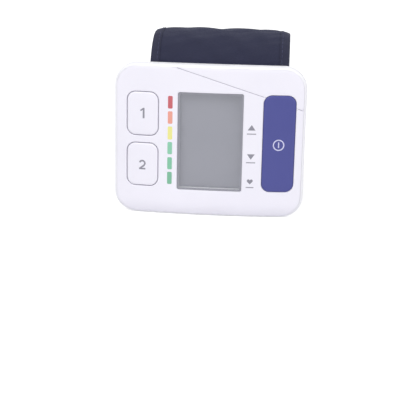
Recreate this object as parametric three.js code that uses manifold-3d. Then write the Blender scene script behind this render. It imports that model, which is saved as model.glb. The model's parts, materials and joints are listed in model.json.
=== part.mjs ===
// A wrist blood pressure monitor: a hand-sized measuring unit on a cuff that closes round the wrist.
// Millimetres, +Z up. The display faces -Y, the wrist passes through the cuff along X, and the
// origin is on the surface that the unit stands on, under the middle of the whole object.
import * as THREE from "three";
import { mergeVertices } from "three/addons/utils/BufferGeometryUtils.js";
import Module from "manifold-3d";

const wasm = await Module();
wasm.setup();

// Clearances shared by all pieces
const seat_gap = 0.3;
const button_gap = 0.38;
const window_gap = 0.15;
const cut_overrun = 6;

// Housing: its outline, its bowed face and its leaning side walls
const unit_width = 84;
const unit_height = 67.5;
const unit_depth = 30;
const corner_radius = 10;
const least_corner_radius = 0.8;
const face_sag = 3;
const roll_height = 7;
const roll_drop = 2.2;
const edge_round = 2;
const least_round_share = 0.25;
const straight_depth = 6.5;
const straight_follow_share = 0.5;
const parting_depth = 11.5;
const parting_gap = 0.3;
const lean_share = 0.27;
const back_round = 4.5;
const wall = 1.8;
const saddle_depth = 5;
const lip_height = 1.2;
const lip_thickness = 0.8;
const lip_root = 1.2;

// Face panel, laid into the front cover
const panel_inset = 1.1;
const panel_groove = 0.25;
const panel_thickness = 1.2;
const cover_wall = 1.5;
const design_line_width = 0.35;
const design_line_depth = 0.3;
const design_line_start = { right_distance: 57.6, top_distance: 0.8 };
const design_line_bend = { right_distance: 37.7, top_distance: 6.9 };
const design_line_middle = { right_distance: 18.1, top_distance: 13.1 };
const design_line_end = { right_distance: -0.5, top_distance: 19.2 };

// Display
const window_left_margin = 28.3;
const window_right_margin = 27.2;
const window_top_margin = 11.9;
const window_base = 12.2;
const window_width = unit_width - window_left_margin - window_right_margin;
const window_height = unit_height - window_base - window_top_margin;
const window_corner_radius = 0.8;
const window_thickness = 0.9;
const window_setback = 0.1;
const window_ledge = 0.7;
const glass_border = 0.7;
const glass_thickness = 1.8;
const frame_border = 1.3;
const frame_ledge = 1.2;
const connector_width = 2;
const connector_inset = 0.4;

// Buttons: places are of the middle of each cap, from the nearest side and the bottom of the unit
const button_corner_radius = 3.6;
const button_proud = 0.25;
const button_edge = 0.6;
const button_edge_in_share = 0.3;
const button_edge_down_share = 0.25;
const flange_lip = 1;
const flange_thickness = 0.7;
const start_width = 13.9;
const start_height = 42.8;
const start_right_distance = 11.5;
const start_middle_height = 33.9;
const memory_width = 13.6;
const memory_left_distance = 12.8;
const memory_top_margin = 12.5;
const memory_bottom_margin = 13.3;
const memory_between = 3.7;
const memory_height = (unit_height - memory_top_margin - memory_bottom_margin - memory_between) / 2;
const memory_1_middle_height = unit_height - memory_top_margin - memory_height / 2;
const memory_2_middle_height = memory_bottom_margin + memory_height / 2;
const press_travel = 0.6;

// Circuit board and what is on it
const board_thickness = 1;
const board_side_gap = 5;
const board_base = 10.3;
const board_top = 55;
const switch_size = 6;
const switch_height = 1.8;
const switch_floor = 0.25;
const switch_gap = 0.12;
const plunger_radius = 1.7;
const plunger_seat = 0.85;
const chip_size = 9;
const chip_height = 1.2;
const chip_left_distance = 37;
const chip_middle_height = 24;
const buzzer_radius = 5;
const buzzer_height = 3;
const buzzer_right_distance = 15;
const buzzer_middle_height = 40;
const buzzer_hole_radius = 1.25;
const sensor_size = 6;
const sensor_height = 2.2;

// Cells and their bay
const cell_radius = 5.25;
const cell_length = 43.7;
const nub_radius = 1.9;
const nub_height = 0.8;
const cell_round = 0.6;
const cell_side_gap = 0.51;
const bay_wall = 1;
const bay_front_wall = 0.8;
const bay_base = 6.8;
const contact_thickness = 0.4;
const contact_width = 6.6;
const spring_wire = 0.25;
const spring_pitch = 0.98;
const spring_turns = 2.5;
const spring_wide = 3.2;
const spring_narrow = 2.3;

// Battery cover, which slides off the left end
const hatch_width = 11.3;
const hatch_margin = 3.8;
const hatch_gap = 0.3;
const hatch_wall = 1.5;
const hatch_rim = 1;
const tongue_length = 3;
const tongue_thickness = 0.7;
const tongue_margin = 4;
const rib_width = 1;
const rib_height = 0.5;
const rib_pitch = 2.2;
const rib_count = 3;
const rib_length_share = 0.34;
const rib_place_distance = 2.8;

// Housing screws: middle of each, from the left edge and from the bottom
const screw_edge = 6.8;
const screw_right = 9;
const screw_left = 11;
const screw_middle = 31;
const screw_radius = 0.9;
const screw_head_radius = 1.7;
const screw_head_height = 1.2;
const screw_length = 10;
const screw_slot_width = 0.5;
const screw_slot_depth = 0.6;
const screw_slot_share = 0.62;
const post_radius = 2.2;
const post_hole_radius = 1.2;
const board_rest_radius = 1.76;
const rear_post_radius = 2.7;
const rear_post_floor = 1.6;
const screw_head_depth = 17;

// Air system
const pump_radius = 6;
const motor_side_room = 18;
const motor_boss_radius = 2.4;
const motor_boss_length = 1.2;
const head_length = 12;
const head_height = 12.4;
const pump_depth = 17.2;
const pump_top_gap = 12.6;
const cradle_width = 2.4;
const cradle_share = 0.34;
const cradle_spread_share = 0.25;
const barb_radius = 0.9;
const barb_length = 1.1;
const tube_radius = 2.1;
const tube_bore_radius = 1.2;
const tube_straight_share = 0.4;
const tube_drop_share = 0.4;
const tube_near_share = 0.1;
const tube_above_share = 0.5;
const manifold_size = 5.4;
const manifold_depth = 17.6;
const valve_width = 10;
const valve_height = 11;
const valve_right_distance = 20;
const valve_base = 10.8;
const nipple_radius = 2;
const nipple_flange_radius = 5;
const bladder_floor = 0.37;

// Cuff: a loop of four arcs and a half ellipse, measured on its outer face
const cuff_height = 77.5;
const cuff_left_margin = 11.6;
const cuff_right_margin = 8.2;
const front_radius = 68;
const front_degrees = 20;
const rear_reach = 39;
const cloth = 0.8;
const curler_thickness = 1;
const bladder_thickness = 1.1;
const edge_drop = 1.6;
const bound_width = 1.2;
const bound_rise = 0.3;
const curler_inset = 11;
const hinge_degrees = 35;
const strap_end_degrees = 150;
const full_degrees = 360;
const base_end_degrees = 152;
const flap_end_degrees = 222;
const flap_thickness = 1.3;
const hook_thickness = 0.7;
const hook_margin = 5;
const hook_start_degrees = 172;
const flap_corner_radius = 12;
const plate_side_margin = 15.1;
const plate_height = 30;
const plate_screw_inset = 5;
const plate_screw_radius = 1.1;
const plate_screw_head_radius = 2.1;
const plate_screw_head = 0.8;

// Places worked out from the sizes above
const half_width = unit_width / 2;
const half_height = unit_height / 2;
const bow_radius = (half_width ** 2 + face_sag ** 2) / (2 * face_sag);
const loop_half = cuff_height / 2;
const turn_of = (degrees) => THREE.MathUtils.degToRad(degrees);
const corner_arc = (loop_half - front_radius * Math.sin(turn_of(front_degrees)))
  / (1 - Math.sin(turn_of(front_degrees)));
const loop_shoulder = front_radius * (1 - Math.cos(turn_of(front_degrees)))
  + corner_arc * Math.cos(turn_of(front_degrees));
const loop_front = unit_depth - saddle_depth + seat_gap;
const flap_stack = seat_gap + hook_thickness + seat_gap + flap_thickness;
const overall_depth = loop_front + loop_shoulder + rear_reach + flap_stack;
const front_y = -overall_depth / 2;
const saddle_radius = front_radius + seat_gap;
const saddle_center = unit_depth - saddle_depth + saddle_radius;
const depth_to_y = (depth) => front_y + depth;

// How far the face lies behind its foremost line: it bows across and rolls back at the bottom
function face_drop(x, z) {
  const bow = bow_radius - Math.sqrt(bow_radius ** 2 - x ** 2);
  const into_roll = Math.max(roll_height - z, 0) / roll_height;
  return bow + roll_drop * into_roll ** 2;
}

// Solids and meshes
const merge_distance = 1e-5;
function outward(geometry) {
  const place = geometry.getAttribute("position");
  const index = geometry.getIndex();
  const corners = [new THREE.Vector3(), new THREE.Vector3(), new THREE.Vector3()];
  let volume = 0;
  for (let i = 0; i < index.count; i += 3) {
    corners.forEach((corner, k) => corner.fromBufferAttribute(place, index.getX(i + k)));
    volume += corners[0].dot(corners[1].clone().cross(corners[2]));
  }
  if (volume < 0) {
    for (let i = 0; i < index.count; i += 3) {
      const swap = index.getX(i + 1);
      index.setX(i + 1, index.getX(i + 2));
      index.setX(i + 2, swap);
    }
  }
  return geometry;
}

function solid(geometry) {
  const bare = geometry.clone();
  bare.deleteAttribute("normal");
  bare.deleteAttribute("uv");
  const merged = outward(mergeVertices(bare, merge_distance));
  const mesh = new wasm.Mesh({
    numProp: 3,
    vertProperties: new Float32Array(merged.getAttribute("position").array),
    triVerts: new Uint32Array(merged.getIndex().array),
  });
  return new wasm.Manifold(mesh);
}

// A solid's mesh, with the points that cuts leave almost together joined to one
const join_share = 1e-5;
function shape_of(body) {
  const mesh = body.getMesh();
  const geometry = new THREE.BufferGeometry();
  geometry.setAttribute("position", new THREE.BufferAttribute(mesh.vertProperties, 3));
  geometry.setIndex(new THREE.BufferAttribute(mesh.triVerts, 1));
  const joined = mergeVertices(geometry, join_share * unit_width);
  const corners = Array.from(joined.getIndex().array);
  const kept = [];
  for (let i = 0; i < corners.length; i += 3) {
    const [a, b, c] = corners.slice(i, i + 3);
    if (a !== b && b !== c && c !== a) kept.push(a, b, c);
  }
  joined.setIndex(kept);
  joined.computeVertexNormals();
  return joined;
}

// A closed skin over rings of the same count; a first or last ring of one point closes to a pole,
// and any other end ring is closed by strips between its two halves
function skin(rings) {
  const places = [];
  const starts = rings.map((ring) => {
    const start = places.length / 3;
    ring.forEach((point) => places.push(...point));
    return start;
  });
  const faces = [];
  const count = Math.max(...rings.map((ring) => ring.length));
  for (let r = 0; r + 1 < rings.length; r += 1) {
    for (let i = 0; i < count; i += 1) {
      const next = (i + 1) % count;
      const low = [starts[r] + (rings[r].length > 1 ? i : 0),
        starts[r] + (rings[r].length > 1 ? next : 0)];
      const high = [starts[r + 1] + (rings[r + 1].length > 1 ? i : 0),
        starts[r + 1] + (rings[r + 1].length > 1 ? next : 0)];
      if (low[0] !== low[1]) faces.push(low[0], low[1], high[1]);
      if (high[0] !== high[1]) faces.push(low[0], high[1], high[0]);
    }
  }
  const close_end = (start, ring, turned) => {
    if (ring.length === 1) return;
    for (let i = 0; i + 1 < count / 2; i += 1) {
      const quad = [start + i, start + i + 1, start + count - 2 - i, start + count - 1 - i];
      if (turned) quad.reverse();
      faces.push(quad[0], quad[2], quad[1]);
      if (quad[0] !== quad[3]) faces.push(quad[0], quad[3], quad[2]);
    }
  };
  close_end(starts[0], rings[0], false);
  close_end(starts[rings.length - 1], rings[rings.length - 1], true);
  const geometry = new THREE.BufferGeometry();
  geometry.setAttribute("position", new THREE.Float32BufferAttribute(places, 3));
  geometry.setIndex(faces);
  return outward(geometry);
}

// A rounded rectangle as points across and up, with the same count for every size
const fine_steps = { corner: 5, side: 6 };
const inner_steps = { corner: 3, side: 3 };
const button_steps = { corner: 4, side: 2 };
const plain_steps = { corner: 2, side: 1 };
function rounded_outline(middle_x, middle_z, width, height, radius, steps = plain_steps) {
  const points = [];
  const corners = [[1, 1], [-1, 1], [-1, -1], [1, -1]];
  corners.forEach(([side_x, side_z], corner) => {
    const center_x = middle_x + side_x * (width / 2 - radius);
    const center_z = middle_z + side_z * (height / 2 - radius);
    for (let k = 0; k <= steps.corner; k += 1) {
      const angle = (Math.PI / 2) * (corner + k / steps.corner);
      points.push([center_x + radius * Math.cos(angle), center_z + radius * Math.sin(angle)]);
    }
    const [next_x, next_z] = corners[(corner + 1) % 4];
    const turn = (Math.PI / 2) * (corner + 1);
    const from = points[points.length - 1];
    const to = [middle_x + next_x * (width / 2 - radius) + radius * Math.cos(turn),
      middle_z + next_z * (height / 2 - radius) + radius * Math.sin(turn)];
    for (let k = 1; k < steps.side; k += 1) {
      points.push([from[0] + ((to[0] - from[0]) * k) / steps.side,
        from[1] + ((to[1] - from[1]) * k) / steps.side]);
    }
  });
  return points;
}

// The housing's outline drawn in by an inset, finely for what shows and coarsely for the inside
function housing_outline(inset, steps) {
  const radius = Math.max(corner_radius - inset, least_corner_radius);
  return rounded_outline(0, half_height, unit_width - 2 * inset, unit_height - 2 * inset, radius,
    steps);
}

const unit_outline = (inset) => housing_outline(inset, fine_steps);
const inner_outline = (inset) => housing_outline(inset, inner_steps);

// A body of stacked outlines: each level has an inset, a depth, how far it follows the bowed face
// and how far it is drawn to the middle
function stacked(outline_at, middle, levels) {
  const rings = levels.map(({ inset, depth, follow, draw = 1 }) => {
    if (draw === 0) {
      const pole = depth + follow * face_drop(middle[0], middle[1]);
      return [[middle[0], depth_to_y(pole), middle[1]]];
    }
    return outline_at(inset).map(([x, z]) => {
      const near_x = middle[0] + (x - middle[0]) * draw;
      const near_z = middle[1] + (z - middle[1]) * draw;
      return [near_x, depth_to_y(depth + follow * face_drop(near_x, near_z)), near_z];
    });
  });
  return skin(rings);
}

// A straight block of an outline between two depths
function prism(points, from_depth, to_depth) {
  const middle = points.reduce(([x, z], point) => [x + point[0] / points.length,
    z + point[1] / points.length], [0, 0]);
  const levels = [{ inset: 0, depth: from_depth, follow: 0, draw: 0 },
    { inset: 0, depth: from_depth, follow: 0 }, { inset: 0, depth: to_depth, follow: 0 },
    { inset: 0, depth: to_depth, follow: 0, draw: 0 }];
  return solid(stacked(() => points, middle, levels));
}

function box(x_range, depth_range, z_range) {
  const geometry = new THREE.BoxGeometry(x_range[1] - x_range[0], depth_range[1] - depth_range[0],
    z_range[1] - z_range[0]);
  geometry.translate((x_range[0] + x_range[1]) / 2,
    depth_to_y((depth_range[0] + depth_range[1]) / 2), (z_range[0] + z_range[1]) / 2);
  return solid(geometry);
}

// A turned piece: profile of radius and height pairs, along depth, up or across
function turned(profile, at, along, sides = 12) {
  const geometry = new THREE.LatheGeometry(profile.map((p) => new THREE.Vector2(...p)), sides);
  if (along === "up") geometry.rotateX(Math.PI / 2);
  if (along === "across") geometry.rotateZ(-Math.PI / 2);
  geometry.translate(at.x, depth_to_y(at.depth), at.z);
  return solid(geometry);
}

const rod = (radius, from, to) => [[0, from], [radius, from], [radius, to], [0, to]];
const both = (a, b) => a.add(b);
const all = (bodies) => bodies.reduce(both);

// Inset of the housing's side walls at a depth behind the straight part
const lean_at = (depth) => Math.max(depth - straight_depth, 0) * lean_share;

// Levels over the bowed face, from its middle out to where its rim starts to round
const face_inset_shares = [1, 0.66, 0.42];
const face_draw_shares = [0, 0.5];
function face_levels(inset, face_offset) {
  return [
    ...face_draw_shares.map((draw) => ({ inset: inset + corner_radius, depth: face_offset,
      follow: 1, draw })),
    ...face_inset_shares.map((share) => ({ inset: inset + corner_radius * share,
      depth: face_offset, follow: 1 })),
  ];
}

// Levels of the whole housing's skin, drawn in by a wall: used for its outside and its hollow
function housing_levels(inset, face_offset, arc_steps) {
  const round = Math.max(edge_round - inset, edge_round * least_round_share);
  const arc = Array.from({ length: arc_steps + 1 }, (_, k) => (k * Math.PI) / (2 * arc_steps));
  const round_start = unit_depth - back_round;
  return [
    ...face_levels(inset, face_offset),
    ...arc.map((angle) => ({
      inset: inset + round * (1 - Math.sin(angle)),
      depth: face_offset + round * (1 - Math.cos(angle)),
      follow: 1,
    })),
    { inset, depth: straight_depth, follow: straight_follow_share },
    { inset: inset + lean_at(parting_depth), depth: parting_depth, follow: 0 },
    { inset: inset + lean_at(round_start), depth: round_start, follow: 0 },
    ...arc.slice(1).map((angle) => ({
      inset: inset + lean_at(round_start) + back_round * (1 - Math.cos(angle)),
      depth: round_start + (back_round - inset) * Math.sin(angle),
      follow: 0,
    })),
    { inset: inset + corner_radius, depth: unit_depth - inset, follow: 0, draw: 0 },
  ];
}

const middle = [0, half_height];
const outside_arc_steps = 3;
const inside_arc_steps = 2;
const whole_skin = solid(stacked(unit_outline, middle, housing_levels(0, 0, outside_arc_steps)));
const whole_hollow = solid(stacked(inner_outline, middle,
  housing_levels(wall, panel_thickness + seat_gap + cover_wall, inside_arc_steps)));

// The hollow that the cuff leans into: a lens-shaped block along the whole width
function saddle_block(extra) {
  const radius = saddle_radius + extra;
  const reach = Math.asin(Math.min((Math.max(loop_half, unit_height - loop_half) + cut_overrun)
    / radius, 1));
  const shape = new THREE.Shape();
  shape.absarc(-saddle_center, loop_half, radius, -reach, reach, false);
  const back = -saddle_center + radius * Math.cos(reach) - cut_overrun;
  shape.lineTo(back, loop_half + radius * Math.sin(reach));
  shape.lineTo(back, loop_half - radius * Math.sin(reach));
  const geometry = new THREE.ExtrudeGeometry(shape, {
    depth: unit_width + 2 * cut_overrun, bevelEnabled: false, curveSegments: 16,
  });
  geometry.translate(0, 0, -half_width - cut_overrun);
  geometry.applyMatrix4(new THREE.Matrix4().set(0, 0, 1, 0, -1, 0, 0, front_y, 0, 1, 0, 0, 0, 0, 0, 1));
  return solid(geometry);
}

// Inner ribs, posts and bay walls end half way into the wall, so that they never reach its outside
const wall_middle = solid(stacked(inner_outline, middle,
  housing_levels(wall / 2, wall / 2, inside_arc_steps))).subtract(saddle_block(wall / 2));

const full_width = [-half_width - cut_overrun, half_width + cut_overrun];
const full_height = [-cut_overrun, unit_height + cut_overrun];
const housing_outside = whole_skin.subtract(saddle_block(0));
const housing_hollow = whole_hollow.subtract(saddle_block(wall));
const front_half = box(full_width, [-cut_overrun, parting_depth - parting_gap / 2], full_height);
const rear_half = box(full_width, [parting_depth + parting_gap / 2, unit_depth + cut_overrun],
  full_height);

// Openings shared by the panel and the cover
const start_x = half_width - start_right_distance;
const memory_x = -half_width + memory_left_distance;
const start_outline = (grow) => rounded_outline(start_x, start_middle_height, start_width + 2 * grow,
  start_height + 2 * grow, button_corner_radius + grow, button_steps);
const memory_outline = (up) => (grow) => rounded_outline(memory_x, up, memory_width + 2 * grow,
  memory_height + 2 * grow, button_corner_radius + grow, button_steps);
const memory_1_outline = memory_outline(memory_1_middle_height);
const memory_2_outline = memory_outline(memory_2_middle_height);
const window_x = (window_left_margin - window_right_margin) / 2;
const window_up = window_base + window_height / 2;
const window_outline = (grow) => rounded_outline(window_x, window_up, window_width + 2 * grow,
  window_height + 2 * grow, Math.max(window_corner_radius + grow, window_corner_radius / 2));
const face_reach = [-cut_overrun, straight_depth];
const button_cuts = all([start_outline, memory_1_outline, memory_2_outline]
  .map((outline) => prism(outline(button_gap), ...face_reach)));

// Everything deeper than the bowed face by an offset
function below_face(offset) {
  const levels = [
    ...face_levels(0, offset),
    { inset: edge_round, depth: offset, follow: 1 },
    { inset: -cut_overrun, depth: offset, follow: 1 },
    { inset: -cut_overrun, depth: unit_depth, follow: 0 },
    { inset: 0, depth: unit_depth, follow: 0, draw: 0 },
  ];
  return solid(stacked(unit_outline, middle, levels));
}

// Face panel, its outline following the housing, with the fine design line cut along its face
const cover_recess = prism(unit_outline(panel_inset), -cut_overrun, parting_depth)
  .subtract(below_face(panel_thickness + seat_gap));
const panel_blank = housing_outside
  .intersect(prism(unit_outline(panel_inset + panel_groove), -cut_overrun, parting_depth))
  .subtract(below_face(panel_thickness));

function design_line() {
  const stops = [design_line_start, design_line_bend, design_line_middle, design_line_end];
  const curve = new THREE.CatmullRomCurve3(stops.map((stop) => new THREE.Vector3(
    half_width - stop.right_distance, 0, unit_height - stop.top_distance)));
  const half = design_line_width / 2;
  const steps = 24;
  const rings = [];
  for (let k = 0; k <= steps; k += 1) {
    const at = curve.getPoint(k / steps);
    const along = curve.getTangent(k / steps);
    const side = [-along.z * half, along.x * half];
    const floor = depth_to_y(face_drop(at.x, at.z) + design_line_depth);
    const top = depth_to_y(-cut_overrun);
    rings.push([[at.x - side[0], top, at.z - side[1]], [at.x + side[0], top, at.z + side[1]],
      [at.x + side[0], floor, at.z + side[1]], [at.x - side[0], floor, at.z - side[1]]]);
  }
  return solid(skin(rings));
}

const face_panel = panel_blank.subtract(button_cuts)
  .subtract(prism(window_outline(window_gap), ...face_reach))
  .subtract(design_line());

// Display, from the window back to the circuit board
const window_drop = face_drop(window_x + window_width / 2, half_height);
const window_front = window_drop + window_setback;
const display_window = prism(window_outline(0), window_front, window_front + window_thickness);
const inner_face = panel_thickness + seat_gap + cover_wall;
const glass_front = inner_face + seat_gap
  + face_drop(window_x + window_width / 2 + glass_border + frame_border, half_height);
const glass_back = glass_front + glass_thickness;
const board_front = inner_face + face_drop(start_x + switch_size / 2, start_middle_height) + seat_gap
  + flange_thickness + press_travel + switch_gap + switch_height + seat_gap;
const lcd_panel = prism(window_outline(glass_border), glass_front, glass_back);
const lcd_frame = prism(window_outline(glass_border + frame_border), glass_front + seat_gap,
  board_front - seat_gap)
  .subtract(prism(window_outline(glass_border + seat_gap), glass_front - seat_gap,
    glass_back + seat_gap))
  .subtract(prism(window_outline(glass_border - frame_ledge), glass_front, board_front));
const connector_reach = window_width / 2 + glass_border - frame_ledge - connector_inset;
const connector_base = window_base - glass_border + frame_ledge + connector_inset;
const lcd_connector = box([window_x - connector_reach, window_x + connector_reach],
  [glass_back + seat_gap, board_front - seat_gap],
  [connector_base, connector_base + connector_width]);

// Buttons: a cap with a rounded rim, and a flange that stops it behind the cover
function button(outline, at) {
  const levels = [
    { inset: -button_edge, depth: -button_proud, follow: 1, draw: 0 },
    { inset: -button_edge, depth: -button_proud, follow: 1 },
    { inset: -button_edge * button_edge_in_share,
      depth: -button_proud + button_edge * button_edge_down_share, follow: 1 },
    { inset: 0, depth: -button_proud + button_edge, follow: 1 },
    { inset: 0, depth: inner_face + seat_gap, follow: 1 },
    { inset: flange_lip, depth: inner_face + seat_gap, follow: 1 },
    { inset: flange_lip, depth: inner_face + seat_gap + flange_thickness, follow: 1 },
    { inset: flange_lip, depth: inner_face + seat_gap + flange_thickness, follow: 1, draw: 0 },
  ];
  return solid(stacked(outline, at, levels));
}

const start_button = button(start_outline, [start_x, start_middle_height]);
const memory_button_1 = button(memory_1_outline, [memory_x, memory_1_middle_height]);
const memory_button_2 = button(memory_2_outline, [memory_x, memory_2_middle_height]);

// Key switches: a body on the board with a blind hole, and a plunger that moves with its button
const switch_front = board_front - seat_gap - switch_height;
const switch_back = board_front - seat_gap;

function key_switch(x, z) {
  const half = switch_size / 2;
  const hole = turned(rod(plunger_radius + seat_gap, switch_front - cut_overrun,
    switch_back - switch_floor), { x, depth: 0, z }, "depth");
  return box([x - half, x + half], [switch_front, switch_back], [z - half, z + half]).subtract(hole);
}

function plunger(x, z) {
  const cap_back = inner_face + seat_gap + flange_thickness + face_drop(x, z);
  return turned(rod(plunger_radius, cap_back + seat_gap, switch_front + plunger_seat),
    { x, depth: 0, z }, "depth");
}

// Circuit board and the parts soldered on its back
const board_back = board_front + board_thickness;
const board_reach = half_width - board_side_gap;
const circuit_board = box([-board_reach, board_reach], [board_front, board_back],
  [board_base, board_top]);
const part_front = board_back + seat_gap;
const cuff_right = half_width - cuff_right_margin;
const cuff_left = -half_width + cuff_left_margin;
const cuff_middle = (cuff_left + cuff_right) / 2;
const plate_width = cuff_right - cuff_left - 2 * plate_side_margin;
const chip_x = -half_width + chip_left_distance;
const main_chip = box([chip_x - chip_size / 2, chip_x + chip_size / 2],
  [part_front, part_front + chip_height],
  [chip_middle_height - chip_size / 2, chip_middle_height + chip_size / 2]);
const buzzer = turned([[0, part_front], [buzzer_radius, part_front],
  [buzzer_radius, part_front + buzzer_height], [buzzer_hole_radius, part_front + buzzer_height],
  [buzzer_hole_radius, part_front + buzzer_height / 2], [0, part_front + buzzer_height / 2]],
  { x: half_width - buzzer_right_distance, depth: 0, z: buzzer_middle_height }, "depth");
const sensor_back = part_front + sensor_height;
const pressure_sensor = box([cuff_middle - sensor_size / 2, cuff_middle + sensor_size / 2],
  [part_front, sensor_back], [loop_half - sensor_size / 2, loop_half + sensor_size / 2])
  .add(turned(rod(barb_radius, part_front, sensor_back + barb_length),
    { x: cuff_middle, depth: 0, z: loop_half }, "depth"));

// Cells, standing side by side in their bay at the left end
const bay_front = board_back + seat_gap + bay_front_wall;
const spring_height = spring_turns * spring_pitch + 2 * spring_wire;
const cell_base = bay_base + seat_gap + contact_thickness + spring_height + seat_gap;
const bay_top = cell_base + cell_length + nub_height + seat_gap + contact_thickness + seat_gap;
const cell_depth = bay_front + seat_gap + cell_radius;
const cell_1_x = -half_width + lean_at(cell_depth) + wall + cell_side_gap + cell_radius;
const cell_2_x = cell_1_x + 2 * cell_radius + seat_gap;
const bay_right = cell_2_x + cell_radius + seat_gap;

function cell(x, upright) {
  const at = { x, depth: cell_depth, z: 0 };
  const base = upright ? cell_base : bay_base + bay_top - cell_base;
  const way = upright ? 1 : -1;
  const profile = [[0, 0], [cell_radius - cell_round, 0], [cell_radius, cell_round],
    [cell_radius, cell_length - cell_round], [cell_radius - cell_round, cell_length],
    [nub_radius, cell_length], [nub_radius, cell_length + nub_height], [0, cell_length + nub_height]];
  return turned(profile.map(([radius, rise]) => [radius, base + way * rise]), at, "up", 24);
}

// A conical spring of one wire, wound in a helix, with its least gap between turns
const spring_gaps = [];
function cell_spring(x, base, way) {
  const steps = Math.round(8 * spring_turns);
  const rings = [];
  for (let k = 0; k <= steps; k += 1) {
    const share = k / steps;
    const angle = 2 * Math.PI * spring_turns * share;
    const radius = spring_wide + (spring_narrow - spring_wide) * share;
    const height = base + way * (spring_wire + spring_turns * spring_pitch * share);
    const ring = [];
    for (let s = 0; s < 5; s += 1) {
      const round = (2 * Math.PI * s) / 5;
      const out = radius + spring_wire * Math.cos(round);
      ring.push([x + out * Math.cos(angle), depth_to_y(cell_depth + out * Math.sin(angle)),
        height + spring_wire * Math.sin(round)]);
    }
    rings.push(ring);
  }
  const centers = rings.map((ring) => ring.reduce((sum, point) => sum.map((value, i) => value
    + point[i] / ring.length), [0, 0, 0]));
  for (let k = 0; k + 8 <= steps; k += 1) {
    spring_gaps.push(Math.hypot(...centers[k].map((value, i) => value - centers[k + 8][i]))
      - 2 * spring_wire);
  }
  const pole = (center) => [center];
  return solid(skin([pole(centers[0]), ...rings, pole(centers[steps])]));
}

const contact_half = contact_width / 2;
const plate_depths = [cell_depth - contact_half, cell_depth + contact_half];
const lower_plate = [bay_base + seat_gap, bay_base + seat_gap + contact_thickness];
const upper_plate = [bay_top - seat_gap - contact_thickness, bay_top - seat_gap];
const contact_bridge = box([cell_1_x - contact_half, cell_2_x + contact_half], plate_depths,
  lower_plate).add(cell_spring(cell_1_x, lower_plate[1] - spring_wire, 1));
const contact_positive = box([cell_1_x - contact_half, cell_1_x + contact_half], plate_depths,
  upper_plate);
const contact_negative = box([cell_2_x - contact_half, cell_2_x + contact_half], plate_depths,
  upper_plate).add(cell_spring(cell_2_x, upper_plate[0] + spring_wire, -1));
console.log("least gap between spring turns: " + Math.min(...spring_gaps).toFixed(2) + " mm");

// Screws that hold the two halves of the housing
const screw_places = [
  { x: half_width - screw_right, z: screw_edge },
  { x: half_width - screw_right, z: unit_height - screw_edge },
  { x: -half_width + screw_left, z: unit_height - screw_edge },
  { x: -half_width + screw_middle, z: screw_edge },
];

function screw(x, z, seat, radius, head_radius, head_height, length, way) {
  const at = { x, depth: 0, z };
  const body = turned([[0, seat - way * length], [radius, seat - way * length], [radius, seat],
    [head_radius, seat], [head_radius, seat + way * head_height], [0, seat + way * head_height]],
    at, "depth", 12);
  const slot_depths = [seat + way * (head_height - screw_slot_depth),
    seat + way * (head_height + seat_gap)].sort((a, b) => a - b);
  const reach = head_radius * screw_slot_share;
  const half = screw_slot_width / 2;
  return body.subtract(box([x - reach, x + reach], slot_depths, [z - half, z + half]))
    .subtract(box([x - half, x + half], slot_depths, [z - reach, z + reach]));
}

const housing_screws = screw_places.map(({ x, z }) => screw(x, z, screw_head_depth, screw_radius,
  screw_head_radius, screw_head_height, screw_length, 1));

// Front cover: the front of the housing, hollow, with its recess, openings, posts and board rests
const post_end = screw_head_depth - rear_post_floor - seat_gap;
const front_posts = all(screw_places.map(({ x, z }) => turned(rod(post_radius, inner_face, post_end),
  { x, depth: 0, z }, "depth")));
const front_post_holes = all(screw_places.map(({ x, z }) => turned(rod(post_hole_radius,
  screw_head_depth - screw_length - seat_gap, unit_depth), { x, depth: 0, z }, "depth")));
const rest_places = [-1, 1].flatMap((side) => [board_base, board_top].map((z) => ({
  x: window_x + side * (window_width / 2 + glass_border + frame_border + post_radius),
  z: z === board_base ? board_base + post_radius : board_top - post_radius,
})));
const board_rests = all(rest_places.map(({ x, z }) => turned(rod(board_rest_radius, inner_face,
  board_front - seat_gap), { x, depth: 0, z }, "depth")));
const front_cover = housing_outside.subtract(housing_hollow)
  .add(front_posts).add(board_rests).subtract(front_post_holes)
  .subtract(cover_recess)
  .subtract(button_cuts)
  .subtract(prism(window_outline(-window_ledge), ...face_reach))
  .intersect(front_half.add(front_posts));

// Rear cover: the back of the housing with its lip, its cell bay, its screw posts and its cradle
function ring_wall(outer_inset, inner_inset, from_depth, to_depth) {
  return prism(inner_outline(outer_inset), from_depth, to_depth)
    .subtract(prism(inner_outline(inner_inset), from_depth - cut_overrun, to_depth + cut_overrun));
}

const rear_start = parting_depth + parting_gap / 2;
const lip_inset = lean_at(parting_depth) + wall + seat_gap;
const lip = ring_wall(lip_inset, lip_inset + lip_thickness, rear_start - lip_height,
  rear_start + lip_root)
  .add(ring_wall(lip_inset - 2 * seat_gap, lip_inset + lip_thickness, rear_start,
    rear_start + lip_root));
const bay_heights = [bay_base - bay_wall, bay_top + bay_wall];
const bay_left = -half_width + lip_inset;
const bay_outside = box([bay_left, bay_right + bay_wall],
  [bay_front - bay_front_wall, rear_start + lip_root], bay_heights)
  .intersect(prism(inner_outline(lip_inset), 0, unit_depth))
  .add(box([full_width[0], bay_right + bay_wall], [rear_start, unit_depth], bay_heights)
    .intersect(wall_middle));
const bay_inside = box([bay_left + lip_thickness, bay_right], [bay_front, unit_depth],
  [bay_base, bay_top]).add(box([full_width[0], bay_right], [rear_start + lip_root, unit_depth],
  [bay_base, bay_top]));
const cell_bay = bay_outside.add(lip).subtract(bay_inside);

const hatch_heights = [bay_base + hatch_margin, bay_top - hatch_margin];
const hatch_right = -half_width + hatch_width;
const hatch_front = rear_start + hatch_rim;
const hatch_opening = box([full_width[0], hatch_right + hatch_gap],
  [hatch_front - hatch_gap, unit_depth + cut_overrun],
  [hatch_heights[0] - hatch_gap, hatch_heights[1] + hatch_gap]);

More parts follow.
